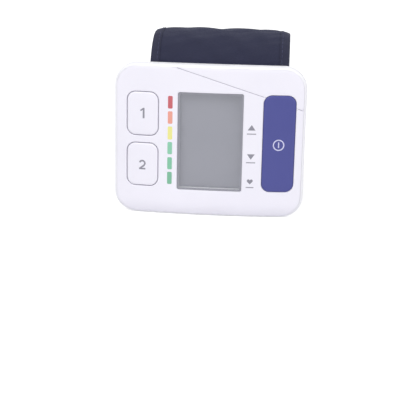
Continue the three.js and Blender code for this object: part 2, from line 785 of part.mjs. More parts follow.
const rear_posts = all(screw_places.map(({ x, z }) => turned(rod(rear_post_radius,
  screw_head_depth - rear_post_floor, unit_depth), { x, depth: 0, z }, "depth")))
  .intersect(wall_middle);
const rear_post_holes = all(screw_places.map(({ x, z }) => turned([[0, rear_start],
  [post_hole_radius, rear_start], [post_hole_radius, screw_head_depth - seat_gap],
  [screw_head_radius + seat_gap, screw_head_depth - seat_gap],
  [screw_head_radius + seat_gap, unit_depth + cut_overrun], [0, unit_depth + cut_overrun]],
  { x, depth: 0, z }, "depth")));

const pump_up = unit_height - pump_top_gap;
const head_left = cuff_middle - head_length / 2;
const head_right = cuff_middle + head_length / 2;
const motor_left = head_right + seat_gap;
const motor_right = half_width - motor_side_room;
const motor_length = motor_right - motor_left;
const cradle_inset = motor_length * cradle_spread_share;
const cradle = all([motor_left + cradle_inset, motor_right - cradle_inset].map((x) => box(
  [x - cradle_width / 2, x + cradle_width / 2],
  [pump_depth + pump_radius * cradle_share, unit_depth],
  [pump_up - pump_radius, pump_up + pump_radius]))).intersect(wall_middle)
  .subtract(turned(rod(pump_radius + seat_gap, motor_left - cut_overrun,
    motor_right + cut_overrun), { x: 0, depth: pump_depth, z: pump_up }, "across", 24));

const plate_screw_xs = [-1, 1].map((side) => cuff_middle
  + side * (plate_width / 2 - plate_screw_inset));
const wall_at_saddle = unit_depth - saddle_depth;
const cuff_holes = all([
  turned(rod(nipple_radius + seat_gap, pump_depth, unit_depth),
    { x: cuff_middle, depth: 0, z: loop_half }, "depth"),
  ...plate_screw_xs.map((x) => turned(rod(plate_screw_radius + seat_gap, pump_depth, unit_depth),
    { x, depth: 0, z: loop_half }, "depth"))]);

const rear_cover = housing_outside.intersect(rear_half).subtract(housing_hollow)
  .add(cell_bay).add(rear_posts).add(cradle)
  .subtract(rear_post_holes).subtract(hatch_opening).subtract(cuff_holes);

// Battery cover: the left end of the rear cover's own skin, with a tongue and finger ribs
function skin_layer(near, far) {
  const outer = near === 0 ? housing_outside : solid(stacked(inner_outline, middle,
    housing_levels(near, near, inside_arc_steps))).subtract(saddle_block(near));
  const inner = solid(stacked(inner_outline, middle, housing_levels(far, far, inside_arc_steps)))
    .subtract(saddle_block(far));
  return outer.subtract(inner);
}

const tongue_near = wall + seat_gap;
const hatch_ribs = all(Array.from({ length: rib_count }, (_, k) => {
  const length = (hatch_heights[1] - hatch_heights[0]) * rib_length_share;
  const x = hatch_right - rib_place_distance + rib_pitch * (k - (rib_count - 1) / 2);
  const mid = (hatch_heights[0] + hatch_heights[1]) / 2;
  return box([x - rib_width / 2, x + rib_width / 2],
    [unit_depth - saddle_depth - hatch_wall / 2, unit_depth], [mid - length / 2, mid + length / 2]);
})).subtract(saddle_block(-rib_height));
const hatch_body = skin_layer(0, hatch_wall).intersect(box([full_width[0], hatch_right],
  [hatch_front, unit_depth + cut_overrun], hatch_heights));
const hatch_tongue = skin_layer(hatch_wall / 2, tongue_near + tongue_thickness)
  .intersect(box([hatch_right - tongue_length, hatch_right],
    [cell_depth, unit_depth], [hatch_heights[0] + tongue_margin, hatch_heights[1] - tongue_margin]))
  .add(skin_layer(tongue_near, tongue_near + tongue_thickness)
    .intersect(box([hatch_right - tongue_length, hatch_right + tongue_length],
      [cell_depth, unit_depth],
      [hatch_heights[0] + tongue_margin, hatch_heights[1] - tongue_margin])));
const battery_cover = hatch_body.add(hatch_tongue).add(hatch_ribs.intersect(
  box([full_width[0], hatch_right], [hatch_front, unit_depth], hatch_heights)));

// Air system: pump, valve, manifold and the silicone tubes between their barbs
const pump_motor = turned([[0, motor_left], [pump_radius, motor_left], [pump_radius, motor_right],
  [motor_boss_radius, motor_right], [motor_boss_radius, motor_right + motor_boss_length],
  [0, motor_right + motor_boss_length]], { x: 0, depth: pump_depth, z: pump_up }, "across", 20);
const head_half = head_height / 2;
const head_base = pump_up - head_half;
const pump_head = box([head_left, head_right], [pump_depth - pump_radius, pump_depth + pump_radius],
  [head_base, pump_up + pump_radius])
  .add(turned(rod(barb_radius, head_base - barb_length, head_base + barb_length),
    { x: cuff_middle, depth: manifold_depth, z: 0 }, "up", 10));
const manifold_half = manifold_size / 2;
const manifold_front = manifold_depth - manifold_half;
const manifold_back = manifold_depth + manifold_half;
const block_top = loop_half + manifold_half;
const block_right = cuff_middle + manifold_half;
const air_manifold = box([cuff_middle - manifold_half, block_right],
  [manifold_front, manifold_back], [loop_half - manifold_half, block_top])
  .add(turned(rod(barb_radius, manifold_front - barb_length, manifold_back + barb_length),
    { x: cuff_middle, depth: 0, z: loop_half }, "depth", 12))
  .add(turned(rod(barb_radius, loop_half, block_top + barb_length),
    { x: cuff_middle, depth: manifold_depth, z: 0 }, "up", 10))
  .add(turned(rod(barb_radius, cuff_middle, block_right + barb_length),
    { x: 0, depth: manifold_depth, z: loop_half }, "across", 10));
const valve_x = half_width - valve_right_distance;
const valve_depth = part_front + valve_width / 2;
const valve_top = valve_base + valve_height;
const exhaust_valve = box([valve_x - valve_width / 2, valve_x + valve_width / 2],
  [part_front, part_front + valve_width], [valve_base, valve_top])
  .add(turned(rod(barb_radius, valve_top - barb_length, valve_top + barb_length),
    { x: valve_x, depth: valve_depth, z: 0 }, "up", 10));

function air_tube(points, steps) {
  const ring = new THREE.Shape().absarc(0, 0, tube_radius, 0, 2 * Math.PI, false);
  ring.holes.push(new THREE.Path().absarc(0, 0, tube_bore_radius, 0, 2 * Math.PI, true));
  const path = new THREE.CatmullRomCurve3(points.map(({ x, depth, z }) => new THREE.Vector3(x,
    depth_to_y(depth), z)));
  return solid(new THREE.ExtrudeGeometry(ring, { steps, curveSegments: 5, extrudePath: path,
    bevelEnabled: false }));
}

const air_tube_pump = air_tube([
  { x: cuff_middle, depth: manifold_depth, z: block_top + seat_gap },
  { x: cuff_middle, depth: manifold_depth, z: head_base - seat_gap }], 2);
const air_tube_sensor = air_tube([
  { x: cuff_middle, depth: sensor_back + seat_gap, z: loop_half },
  { x: cuff_middle, depth: manifold_front - seat_gap, z: loop_half }], 2);
const tube_run = valve_x - block_right;
const air_tube_valve = air_tube([
  { x: block_right + seat_gap, depth: manifold_depth, z: loop_half },
  { x: block_right + tube_run * tube_straight_share, depth: manifold_depth, z: loop_half },
  { x: valve_x - tube_run * tube_near_share, depth: (manifold_depth + valve_depth) / 2,
    z: loop_half - tube_run * tube_drop_share },
  { x: valve_x, depth: valve_depth, z: valve_top + tube_run * tube_above_share },
  { x: valve_x, depth: valve_depth, z: valve_top + seat_gap }], 10);

// The loop's outer face by the turn of its normal: nought faces the unit, a quarter turn is the top.
// A depth inside the cloth moves the point along the normal towards the wrist.
function loop_point(turn_degrees, inward) {
  const full = ((turn_degrees % full_degrees) + full_degrees) % full_degrees;
  const mirrored = full > full_degrees / 2;
  const turn = turn_of(mirrored ? full_degrees - full : full);
  const front = turn_of(front_degrees);
  let depth = 0;
  let rise = 0;
  if (turn <= front) {
    depth = front_radius * (1 - Math.cos(turn));
    rise = front_radius * Math.sin(turn);
  } else if (turn <= Math.PI / 2) {
    depth = front_radius * (1 - Math.cos(front)) + corner_arc * (Math.cos(front) - Math.cos(turn));
    rise = front_radius * Math.sin(front) + corner_arc * (Math.sin(turn) - Math.sin(front));
  } else {
    const past = turn - Math.PI / 2;
    const scale = Math.hypot(rear_reach * Math.sin(past), loop_half * Math.cos(past));
    depth = loop_shoulder + (rear_reach ** 2 * Math.sin(past)) / scale;
    rise = (loop_half ** 2 * Math.cos(past)) / scale;
  }
  const side = mirrored ? -1 : 1;
  return {
    depth: loop_front + depth + inward * Math.cos(turn),
    z: loop_half + side * (rise - inward * Math.sin(turn)),
  };
}

// A strip of the loop between two turns. Its faces lie at given depths inside the cloth, which can
// change across the width, and its ends can be rounded off in plan.
const across_shares = [0, 0.04, 0.14, 0.5, 0.86, 0.96, 1];
const plain_shares = [0, 1];
const step_degrees = 9;
function loop_strip({ from, to, outer, inner, low, high, shares = plain_shares, corner = 0 }) {
  const steps = Math.ceil(Math.abs(to - from) / step_degrees);
  const rings = [];
  for (let k = 0; k <= steps; k += 1) {
    const turn = from + ((to - from) * k) / steps;
    const here = loop_point(turn, 0);
    const end = loop_point(to, 0);
    const left = Math.hypot(here.depth - end.depth, here.z - end.z);
    const into = Math.max(corner - left, 0);
    const trim = corner - Math.sqrt(Math.max(corner ** 2 - into ** 2, 0));
    const place = (share, inward) => {
      const at = loop_point(turn, inward(share));
      return [low + trim + (high - low - 2 * trim) * share, depth_to_y(at.depth), at.z];
    };
    rings.push([...shares.map((share) => place(share, outer)),
      ...[...shares].reverse().map((share) => place(share, inner))]);
  }
  return solid(skin(rings));
}

const edge_curve = (share) => Math.abs(2 * share - 1) ** 6;
const flat_at = (inward) => () => inward;
const cloth_low = cuff_left + bound_width;
const cloth_high = cuff_right - bound_width;
const curler_outer = cloth + seat_gap;
const curler_inner = curler_outer + curler_thickness;
const bladder_outer = curler_inner + seat_gap;
const bladder_inner = bladder_outer + bladder_thickness;
const lining_outer = bladder_inner + seat_gap;
const cuff_thickness = lining_outer + cloth;
const lining_drop = lining_outer - (edge_drop + cloth + seat_gap);
const hinge_arc_gap = THREE.MathUtils.radToDeg(seat_gap / corner_arc);

const outer_cloth = (from, to) => loop_strip({ from, to, low: cloth_low, high: cloth_high,
  shares: across_shares, outer: (share) => edge_drop * edge_curve(share),
  inner: (share) => edge_drop * edge_curve(share) + cloth });
const lining = (from, to) => loop_strip({ from, to, low: cloth_low, high: cloth_high,
  shares: across_shares, outer: (share) => lining_outer - lining_drop * edge_curve(share),
  inner: (share) => cuff_thickness - lining_drop * edge_curve(share) });
const layer = (from, to, outer, inner) => loop_strip({ from, to, outer: flat_at(outer),
  inner: flat_at(inner), low: cuff_left + curler_inset, high: cuff_right - curler_inset });
const bound_outer = edge_drop - bound_rise;
const bound_inner = edge_drop + 2 * cloth + seat_gap + bound_rise;
const bound_edge = (from, to, side) => loop_strip({ from, to, outer: flat_at(bound_outer),
  inner: flat_at(bound_inner), low: side < 0 ? cuff_left : cloth_high + seat_gap,
  high: side < 0 ? cloth_low - seat_gap : cuff_right });

// The fixed half of the cuff: from behind the unit round the bottom and up the back
const base_from = hinge_degrees - hinge_arc_gap;
const base_to = base_end_degrees - full_degrees;
const nipple_at = { x: cuff_middle, depth: 0, z: loop_half };
const nipple_hole = turned(rod(nipple_radius + seat_gap, pump_depth,
  loop_front + bladder_outer), nipple_at, "depth");
const screw_cuts = all(plate_screw_xs.map((x) => turned(rod(plate_screw_radius + seat_gap,
  pump_depth, loop_front + curler_inner), { x, depth: 0, z: loop_half }, "depth")));
const plate_window = (grow) => box([cuff_middle - plate_width / 2 - grow,
  cuff_middle + plate_width / 2 + grow], [wall_at_saddle, unit_depth + cut_overrun],
[loop_half - plate_height / 2 - grow, loop_half + plate_height / 2 + grow]);
const cuff_outer_cloth = outer_cloth(base_from, base_to).subtract(nipple_hole).subtract(screw_cuts);
const curler_full = layer(base_from, base_to, curler_outer, curler_inner);
const cuff_curler = curler_full.subtract(plate_window(seat_gap));
const cuff_plate = curler_full.intersect(plate_window(0)).subtract(nipple_hole)
  .subtract(screw_cuts);
const cuff_bladder = layer(base_from, base_to, bladder_outer, bladder_inner)
  .subtract(turned(rod(nipple_flange_radius + seat_gap, loop_front, loop_front + bladder_inner
    - bladder_floor), nipple_at, "depth"));
const cuff_lining = lining(base_from, base_to);
const cuff_edge_left = bound_edge(base_from, base_to, -1);
const cuff_edge_right = bound_edge(base_from, base_to, 1);

const nipple_start = manifold_back + barb_length + seat_gap;
const cuff_nipple = turned([[0, nipple_start], [barb_radius, nipple_start],
  [barb_radius, wall_at_saddle - wall - seat_gap], [nipple_radius, wall_at_saddle - wall - seat_gap],
  [nipple_radius, loop_front + bladder_outer], [nipple_radius, loop_front + curler_inner + seat_gap],
  [0, loop_front + curler_inner + seat_gap]], nipple_at, "depth");
const air_tube_cuff = air_tube([
  { x: cuff_middle, depth: manifold_back + seat_gap, z: loop_half },
  { x: cuff_middle, depth: wall_at_saddle - wall - 2 * seat_gap, z: loop_half }], 2);
const cuff_screws = plate_screw_xs.map((x) => screw(x, loop_half, wall_at_saddle - wall - seat_gap,
  plate_screw_radius, plate_screw_head_radius, plate_screw_head,
  curler_inner + seat_gap + wall + seat_gap - plate_screw_head / 2, -1));

// The moving half: the strap over the top, and the flap that closes over the fixed half
const strap_outer_cloth = outer_cloth(hinge_degrees, strap_end_degrees);
const strap_curler = layer(hinge_degrees, strap_end_degrees, curler_outer, bladder_inner);
const strap_lining = lining(hinge_degrees, strap_end_degrees);
const strap_edge_left = bound_edge(hinge_degrees, strap_end_degrees, -1);
const strap_edge_right = bound_edge(hinge_degrees, strap_end_degrees, 1);
const hook_outer = -seat_gap - hook_thickness;
const flap_near = hook_outer - seat_gap;
const flap_cloth = loop_strip({ from: strap_end_degrees, to: flap_end_degrees, low: cuff_left,
  high: cuff_right, outer: flat_at(flap_near - flap_thickness), inner: flat_at(flap_near),
  corner: flap_corner_radius });
const flap_hook_patch = loop_strip({ from: hook_start_degrees, to: flap_end_degrees - hook_margin,
  low: cuff_left + hook_margin, high: cuff_right - hook_margin, outer: flat_at(hook_outer),
  inner: flat_at(-seat_gap), corner: flap_corner_radius - hook_margin });

// Materials: colour, roughness and metalness of each finish
const finishes = {
  white_shell: [0xf1f1f6, 0.35, 0],
  blue_button: [0x4f53a0, 0.4, 0],
  window_clear: [0x9a9aa2, 0.15, 0],
  display_glass: [0x8f9097, 0.2, 0],
  dark_frame: [0x3a3b40, 0.6, 0],
  board_green: [0x1f5a3a, 0.5, 0],
  chip_black: [0x1c1c1f, 0.5, 0],
  metal: [0xb9bbc0, 0.3, 1],
  silicone: [0xd9d6cc, 0.6, 0],
  cell_wrap: [0x30343c, 0.35, 0],
  cuff_navy: [0x2a2e52, 0.95, 0],
  lining_navy: [0x232742, 0.9, 0],
  grey_plastic: [0x8a8c93, 0.5, 0],
  hook_black: [0x1f2233, 0.95, 0],
};

const monitor = new THREE.Group();
function piece(name, body, finish) {
  const [color, roughness, metalness] = finishes[finish];
  const mesh = new THREE.Mesh(shape_of(body),
    new THREE.MeshStandardMaterial({ color, roughness, metalness }));
  mesh.name = name;
  monitor.add(mesh);
}

piece("front_cover", front_cover, "white_shell");
piece("face_panel", face_panel, "white_shell");
piece("display_window", display_window, "window_clear");
piece("lcd_panel", lcd_panel, "display_glass");
piece("lcd_frame", lcd_frame, "dark_frame");
piece("lcd_connector", lcd_connector, "chip_black");
piece("start_button", start_button, "blue_button");
piece("memory_button_1", memory_button_1, "white_shell");
piece("memory_button_2", memory_button_2, "white_shell");
piece("circuit_board", circuit_board, "board_green");
const keys = [["start", start_x, start_middle_height], ["memory_1", memory_x, memory_1_middle_height],
  ["memory_2", memory_x, memory_2_middle_height]];
keys.forEach(([name, x, z]) => {
  piece(name + "_switch", key_switch(x, z), "chip_black");
  piece(name + "_plunger", plunger(x, z), "grey_plastic");
});
piece("main_chip", main_chip, "chip_black");
piece("buzzer", buzzer, "chip_black");
piece("pressure_sensor", pressure_sensor, "grey_plastic");
piece("rear_cover", rear_cover, "white_shell");
piece("battery_cover", battery_cover, "white_shell");
piece("battery_1", cell(cell_1_x, true), "cell_wrap");
piece("battery_2", cell(cell_2_x, false), "cell_wrap");
piece("contact_bridge", contact_bridge, "metal");
piece("contact_positive", contact_positive, "metal");
piece("contact_negative", contact_negative, "metal");
housing_screws.forEach((body, k) => piece("housing_screw_" + (k + 1), body, "metal"));
piece("pump_head", pump_head, "grey_plastic");
piece("pump_motor", pump_motor, "metal");
piece("exhaust_valve", exhaust_valve, "metal");
piece("air_manifold", air_manifold, "grey_plastic");
piece("air_tube_pump", air_tube_pump, "silicone");
piece("air_tube_sensor", air_tube_sensor, "silicone");
piece("air_tube_valve", air_tube_valve, "silicone");
piece("air_tube_cuff", air_tube_cuff, "silicone");
piece("cuff_nipple", cuff_nipple, "grey_plastic");
piece("cuff_plate", cuff_plate, "grey_plastic");
cuff_screws.forEach((body, k) => piece("cuff_screw_" + (k + 1), body, "metal"));
piece("cuff_outer_cloth", cuff_outer_cloth, "cuff_navy");
piece("cuff_curler", cuff_curler, "grey_plastic");
piece("cuff_bladder", cuff_bladder, "silicone");
piece("cuff_lining", cuff_lining, "lining_navy");
piece("cuff_edge_left", cuff_edge_left, "cuff_navy");
piece("cuff_edge_right", cuff_edge_right, "cuff_navy");
piece("strap_outer_cloth", strap_outer_cloth, "cuff_navy");
piece("strap_curler", strap_curler, "grey_plastic");
piece("strap_lining", strap_lining, "lining_navy");
piece("strap_edge_left", strap_edge_left, "cuff_navy");
piece("strap_edge_right", strap_edge_right, "cuff_navy");
piece("flap_cloth", flap_cloth, "cuff_navy");
piece("flap_hook_patch", flap_hook_patch, "hook_black");

export default monitor;
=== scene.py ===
# %% [markdown]
# # A wrist blood pressure monitor
# The imported frame holds every solid of the monitor in its place, in metres. This lesson dresses it:
# fine moulded shells, a face panel with rounded openings, printed marks, a soft cuff, and a finish
# for every part. Each finished piece rides on the same body as the solid that it stands for, but
# the pieces handed to the strap and flap bend functions ride on no body.

# %% Load the imported frame
import json
import math

import bpy
import numpy as np
from mathutils import Matrix, Vector
from mathutils.geometry import delaunay_2d_cdt

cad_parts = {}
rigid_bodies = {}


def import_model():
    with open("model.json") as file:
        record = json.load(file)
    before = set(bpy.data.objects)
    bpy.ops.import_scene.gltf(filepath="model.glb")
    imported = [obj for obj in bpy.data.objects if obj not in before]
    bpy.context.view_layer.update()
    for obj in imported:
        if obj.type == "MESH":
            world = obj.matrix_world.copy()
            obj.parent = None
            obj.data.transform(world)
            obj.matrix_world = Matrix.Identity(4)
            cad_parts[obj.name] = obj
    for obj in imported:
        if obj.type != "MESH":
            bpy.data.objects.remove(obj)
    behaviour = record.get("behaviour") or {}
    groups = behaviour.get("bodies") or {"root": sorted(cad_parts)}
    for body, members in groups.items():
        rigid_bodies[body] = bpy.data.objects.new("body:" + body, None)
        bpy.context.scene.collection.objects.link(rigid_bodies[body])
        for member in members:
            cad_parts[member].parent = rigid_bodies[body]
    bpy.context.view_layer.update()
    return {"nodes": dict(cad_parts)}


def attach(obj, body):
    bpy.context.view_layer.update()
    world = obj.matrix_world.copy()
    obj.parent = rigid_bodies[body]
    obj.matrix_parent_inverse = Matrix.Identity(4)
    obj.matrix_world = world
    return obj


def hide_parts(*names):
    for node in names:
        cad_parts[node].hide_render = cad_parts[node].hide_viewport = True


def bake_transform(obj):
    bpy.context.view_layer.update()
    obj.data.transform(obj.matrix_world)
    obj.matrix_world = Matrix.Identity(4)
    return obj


for start_up in list(bpy.data.objects):
    bpy.data.objects.remove(start_up)
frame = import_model()
nodes = frame["nodes"]
print("nodes in the frame:", len(nodes))

# %% [markdown]
# ## Sizes
# The source of the solids works in millimetres from the front of the housing, so this lesson does
# the same and turns to metres only when a mesh is made. Depth grows from the face to the wrist. The
# sizes could be measured on the loaded meshes, but named values are exact and easy to follow.

# %% Sizes in millimetres
MM = 0.001
UNIT_SIZE, UNIT_DEPTH = (84.0, 67.5), 30.0
CORNER_RADIUS = 10.0
FACE_SAG = 3.0
ROLL_HEIGHT, ROLL_DROP = 7.0, 2.2
EDGE_ROUND, BACK_ROUND = 2.0, 4.5
STRAIGHT_DEPTH, PARTING_DEPTH, PARTING_GAP = 6.5, 11.5, 0.3
FRONT_END, REAR_START = PARTING_DEPTH - PARTING_GAP / 2, PARTING_DEPTH + PARTING_GAP / 2
LEAN = 0.27
SADDLE_DEPTH, SEAT_GAP = 5.0, 0.3
FRONT_RADIUS, FRONT_TURN = 68.0, 20.0
SADDLE_RADIUS = FRONT_RADIUS + SEAT_GAP
SADDLE_AXIS = UNIT_DEPTH - SADDLE_DEPTH + SADDLE_RADIUS
CUFF_HEIGHT, REAR_REACH = 77.5, 39.0
CUFF_LEFT, CUFF_RIGHT = -30.4, 33.8
LOOP_HALF = CUFF_HEIGHT / 2
BOW_RADIUS = ((UNIT_SIZE[0] / 2) ** 2 + FACE_SAG ** 2) / (2 * FACE_SAG)
sine, cosine = math.sin(math.radians(FRONT_TURN)), math.cos(math.radians(FRONT_TURN))
CORNER_ARC = (LOOP_HALF - FRONT_RADIUS * sine) / (1 - sine)
SHOULDER = FRONT_RADIUS * (1 - cosine) + CORNER_ARC * cosine
LOOP_FRONT = UNIT_DEPTH - SADDLE_DEPTH + SEAT_GAP
FLAP_STACK = 2.6
FRONT_Y = -(LOOP_FRONT + SHOULDER + REAR_REACH + FLAP_STACK) / 2
print("front of the face at y =", round(FRONT_Y, 2), "mm")

# %% [markdown]
# ## The two guiding surfaces
# The real face is bowed like a wide barrel and rolls back at the foot, and the cuff follows a
# rounded loop. Curves drawn by hand with a shrinkwrap could carry the pieces too. Plain formulas
# are used here, arcs and half an ellipse, because each piece laid on them is one array operation
# and always fits the solids.


# %% Surface formulas
def face_drop(x, z):
    """Depth of the face behind its foremost line: the drop of a circle across the width, plus a
    parabola over the lowest few millimetres."""
    bow = BOW_RADIUS - np.sqrt(BOW_RADIUS ** 2 - np.square(x))
    into_roll = np.maximum(ROLL_HEIGHT - z, 0) / ROLL_HEIGHT
    return bow + ROLL_DROP * into_roll ** 2


def loop_point(turn, inward):
    """Depth and height on the cuff's loop. The turn is the angle of its normal: nought faces the
    unit and a quarter turn is the top. Up to 20 degrees it is a wide arc, up to 90 a tight arc,
    then half an ellipse, and past 180 the same mirrored downwards. Inward moves along the normal
    towards the wrist."""
    full = np.mod(turn, 360.0)
    mirrored = full > 180.0
    angle = np.radians(np.where(mirrored, 360.0 - full, full))
    wide_depth = FRONT_RADIUS * (1 - np.cos(angle))
    wide_rise = FRONT_RADIUS * np.sin(angle)
    tight_depth = FRONT_RADIUS * (1 - cosine) + CORNER_ARC * (cosine - np.cos(angle))
    tight_rise = FRONT_RADIUS * sine + CORNER_ARC * (np.sin(angle) - sine)
    past = np.maximum(angle - np.pi / 2, 0)
    scale = np.hypot(REAR_REACH * np.sin(past), LOOP_HALF * np.cos(past))
    rear_depth = SHOULDER + REAR_REACH ** 2 * np.sin(past) / scale
    rear_rise = LOOP_HALF ** 2 * np.cos(past) / scale
    zones = [angle <= np.radians(FRONT_TURN), angle <= np.pi / 2]
    depth = np.select(zones, [wide_depth, tight_depth], rear_depth)
    rise = np.select(zones, [wide_rise, tight_rise], rear_rise)
    side = np.where(mirrored, -1.0, 1.0)
    return (LOOP_FRONT + depth + inward * np.cos(angle),
            LOOP_HALF + side * (rise - inward * np.sin(angle)))


print("top of the loop:", [round(float(v), 2) for v in loop_point(90.0, 0.0)])

# %% [markdown]
# ## From arrays to meshes
# A mesh is an array of points and an array of faces. It could be built face by face, which is slow
# in Python, so whole grids of quads are worked out at once and put in with foreach_set. Edges
# sharper than a set angle stay crisp while the rest is shaded smoothly.


# %% Grids of quads and volumes
def grid_faces(rows, columns, wrap_rows=False, wrap_columns=True):
    """Quads between neighbouring rows and columns of a grid of points, row after row."""
    row = np.arange(rows if wrap_rows else rows - 1)
    column = np.arange(columns if wrap_columns else columns - 1)
    r, c = np.meshgrid(row, column, indexing="ij")
    r_next, c_next = (r + 1) % rows, (c + 1) % columns
    quads = [r * columns + c, r * columns + c_next, r_next * columns + c_next, r_next * columns + c]
    return np.stack(quads, axis=-1).reshape(-1, 4)


def volume_of(points, faces):
    """Signed volume by the divergence theorem: a sixth of the sum of corner triple products."""
    a, b, c = points[faces[:, 0]], points[faces[:, 1]], points[faces[:, 2]]
    total = np.einsum("ij,ij->i", a, np.cross(b, c)).sum()
    if faces.shape[1] == 4:
        d = points[faces[:, 3]]
        total += np.einsum("ij,ij->i", a, np.cross(c, d)).sum()
    return total / 6


print("quads in a tube of 3 rings of 8 points:", len(grid_faces(3, 8)))


# %% Objects from arrays
def placed(name, data):
    """A new object at the origin, linked to the scene."""
    made = bpy.data.objects.new(name, data)
    bpy.context.scene.collection.objects.link(made)
    return made


def make_object(name, points, face_sets, sharp=35.0, uv=None):
    """A mesh object at the origin, from points in millimetres and arrays of faces. It is shaded
    smoothly, with crisp edges past an angle."""
    face_sets = [np.asarray(faces) for faces in face_sets if len(faces)]
    centred = points - points.mean(axis=0)
    if sum(volume_of(centred, faces) for faces in face_sets) < 0:
        face_sets = [faces[:, ::-1] for faces in face_sets]
    corners = np.concatenate([faces.ravel() for faces in face_sets]).astype(np.int32)
    sizes = np.concatenate([np.full(len(faces), faces.shape[1]) for faces in face_sets])
    mesh = bpy.data.meshes.new(name)
    mesh.vertices.add(len(points))
    mesh.vertices.foreach_set("co", (points * MM).astype(np.float32).ravel())
    mesh.loops.add(len(corners))
    mesh.loops.foreach_set("vertex_index", corners)
    mesh.polygons.add(len(sizes))
    mesh.polygons.foreach_set("loop_start", np.concatenate([[0], np.cumsum(sizes)[:-1]]))
    mesh.update(calc_edges=True)
    mesh.validate()
    if uv is not None:
        layer = mesh.uv_layers.new(name="UVMap")
        layer.data.foreach_set("uv", uv[corners].astype(np.float32).ravel())
    mesh.shade_smooth()
    mesh.set_sharp_from_angle(angle=math.radians(sharp))
    return placed(name, mesh)


# %% Riding a body and noting a finish
finish_of = {}


def fit(piece, body, slot, *stands_for, finish=None):
    """Rides a piece on a body, or hands it to the function given instead, hides the solids that it
    stands for, and notes its finish: the slot's own unless another is named."""
    if callable(body):
        body(piece)
    else:
        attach(piece, body)
    if stands_for:
        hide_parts(*stands_for)
    finish_of[piece.name] = finish or slot


print("pieces with a finish so far:", len(finish_of))


# %% Closed skins over rings
def lofted(rings):
    """Points and faces of a closed skin over an array of rings (ring, point, 3), each end closed
    to its middle."""
    count, size = rings.shape[:2]
    points = np.concatenate([rings.reshape(-1, 3), rings[0].mean(axis=0)[None],
                             rings[-1].mean(axis=0)[None]])
    around = np.arange(size)
    following = (around + 1) % size
    first = np.full(size, count * size)
    near = np.stack([first, following, around], axis=1)
    last = (count - 1) * size
    far = np.stack([first + 1, last + around, last + following], axis=1)
    return points, [grid_faces(count, size), near, far]


print("points in a skin over 3 rings of 8:", len(lofted(np.zeros((3, 8, 3)))[0]))

# %% [markdown]
# ## Stacked outlines
# The housing, the buttons and the window are rounded rectangles stacked in depth. A block with a
# bevel would get the same round on every edge, while in a stack each edge has its own. Each level
# has an inset, a depth, a share by which it follows the bowed face, and a share that draws it in.


# %% Rounded outlines and their stacks
def shrunk(size, inset):
    """A width and height less an inset on both sides."""
    return size[0] - 2 * inset, size[1] - 2 * inset


def rounded_outline(middle, size, radius, corner_steps=14, side_steps=20):
    """A rounded rectangle: arcs of quarter circles joined by straight runs, as (point, 2)."""
    half = np.array(size) / 2 - radius
    sides = np.array([[1, 1], [-1, 1], [-1, -1], [1, -1]])
    quarter = np.arange(4)[:, None]
    angle = np.pi / 2 * (quarter + np.arange(corner_steps + 1)[None] / corner_steps)
    arcs = (sides * half)[:, None] + radius * np.stack([np.cos(angle), np.sin(angle)], axis=-1)
    share = np.arange(1, side_steps)[None, :, None] / side_steps
    start, end = arcs[:, -1][:, None], np.roll(arcs[:, 0], -1, axis=0)[:, None]
    runs = start + (end - start) * share
    return np.concatenate([arcs, runs], axis=1).reshape(-1, 2) + np.array(middle)


def inside_rounded(flat, middle, size, radius):
    """Distance inside a rounded rectangle's edge, negative outside, for points (n, 2)."""
    beyond = np.abs(flat - np.array(middle)) - (np.array(size) / 2 - radius)
    out = np.hypot(*np.maximum(beyond, 0).T) + np.minimum(beyond.max(axis=1), 0)
    return radius - out


def stacked(outline_at, middle, levels):
    """Rings of an outline: level rows are inset, depth, follow and draw."""
    rings = []
    for inset, depth, follow, draw in levels:
        flat = np.array(middle) + (outline_at(inset) - np.array(middle)) * draw
        lie = FRONT_Y + depth + follow * face_drop(flat[:, 0], flat[:, 1])
        rings.append(np.column_stack([flat[:, 0], lie, flat[:, 1]]))
    return np.array(rings)


def stack_object(name, outline_at, middle, levels, sharp=35.0):
    """An object skinned over a stack of outlines."""
    return make_object(name, *lofted(stacked(outline_at, middle, levels)), sharp)


def lean_at(depth):
    """How far the side wall has leaned in at a depth: a fixed share of the way past its
    straight part."""
    return max(depth - STRAIGHT_DEPTH, 0) * LEAN


def quarter_arc(steps):
    """Angles over a quarter circle in even steps."""
    return np.linspace(0, np.pi / 2, steps + 1)


print("the side wall has leaned in", round(lean_at(UNIT_DEPTH), 2), "mm at the back")

# %% [markdown]
# ## The moulded housing
# The real housing is two moulded half shells of white plastic. The solids have the right posts, bay
# and openings, but coarse corners. Modelling the shells anew would be long work and could miss the
# frame, so a dense thin skin of the same form is joined to a copy of each solid, and what stands
# outside the true form is trimmed away. The insides stay, and the outside becomes smooth. A fine
# groove at the parting line gives each half the small broken edge of a moulded part.

# %% Levels of the housing's skin
HOUSING_MIDDLE = (0.0, UNIT_SIZE[1] / 2)
GROOVE, SKIN, CORE = 0.16, 0.7, 12.0


def housing_outline(inset):
    """The housing's outline drawn in, its corner radius less the inset."""
    radius = max(CORNER_RADIUS - inset, 0.8)
    return rounded_outline(HOUSING_MIDDLE, shrunk(UNIT_SIZE, inset), radius)


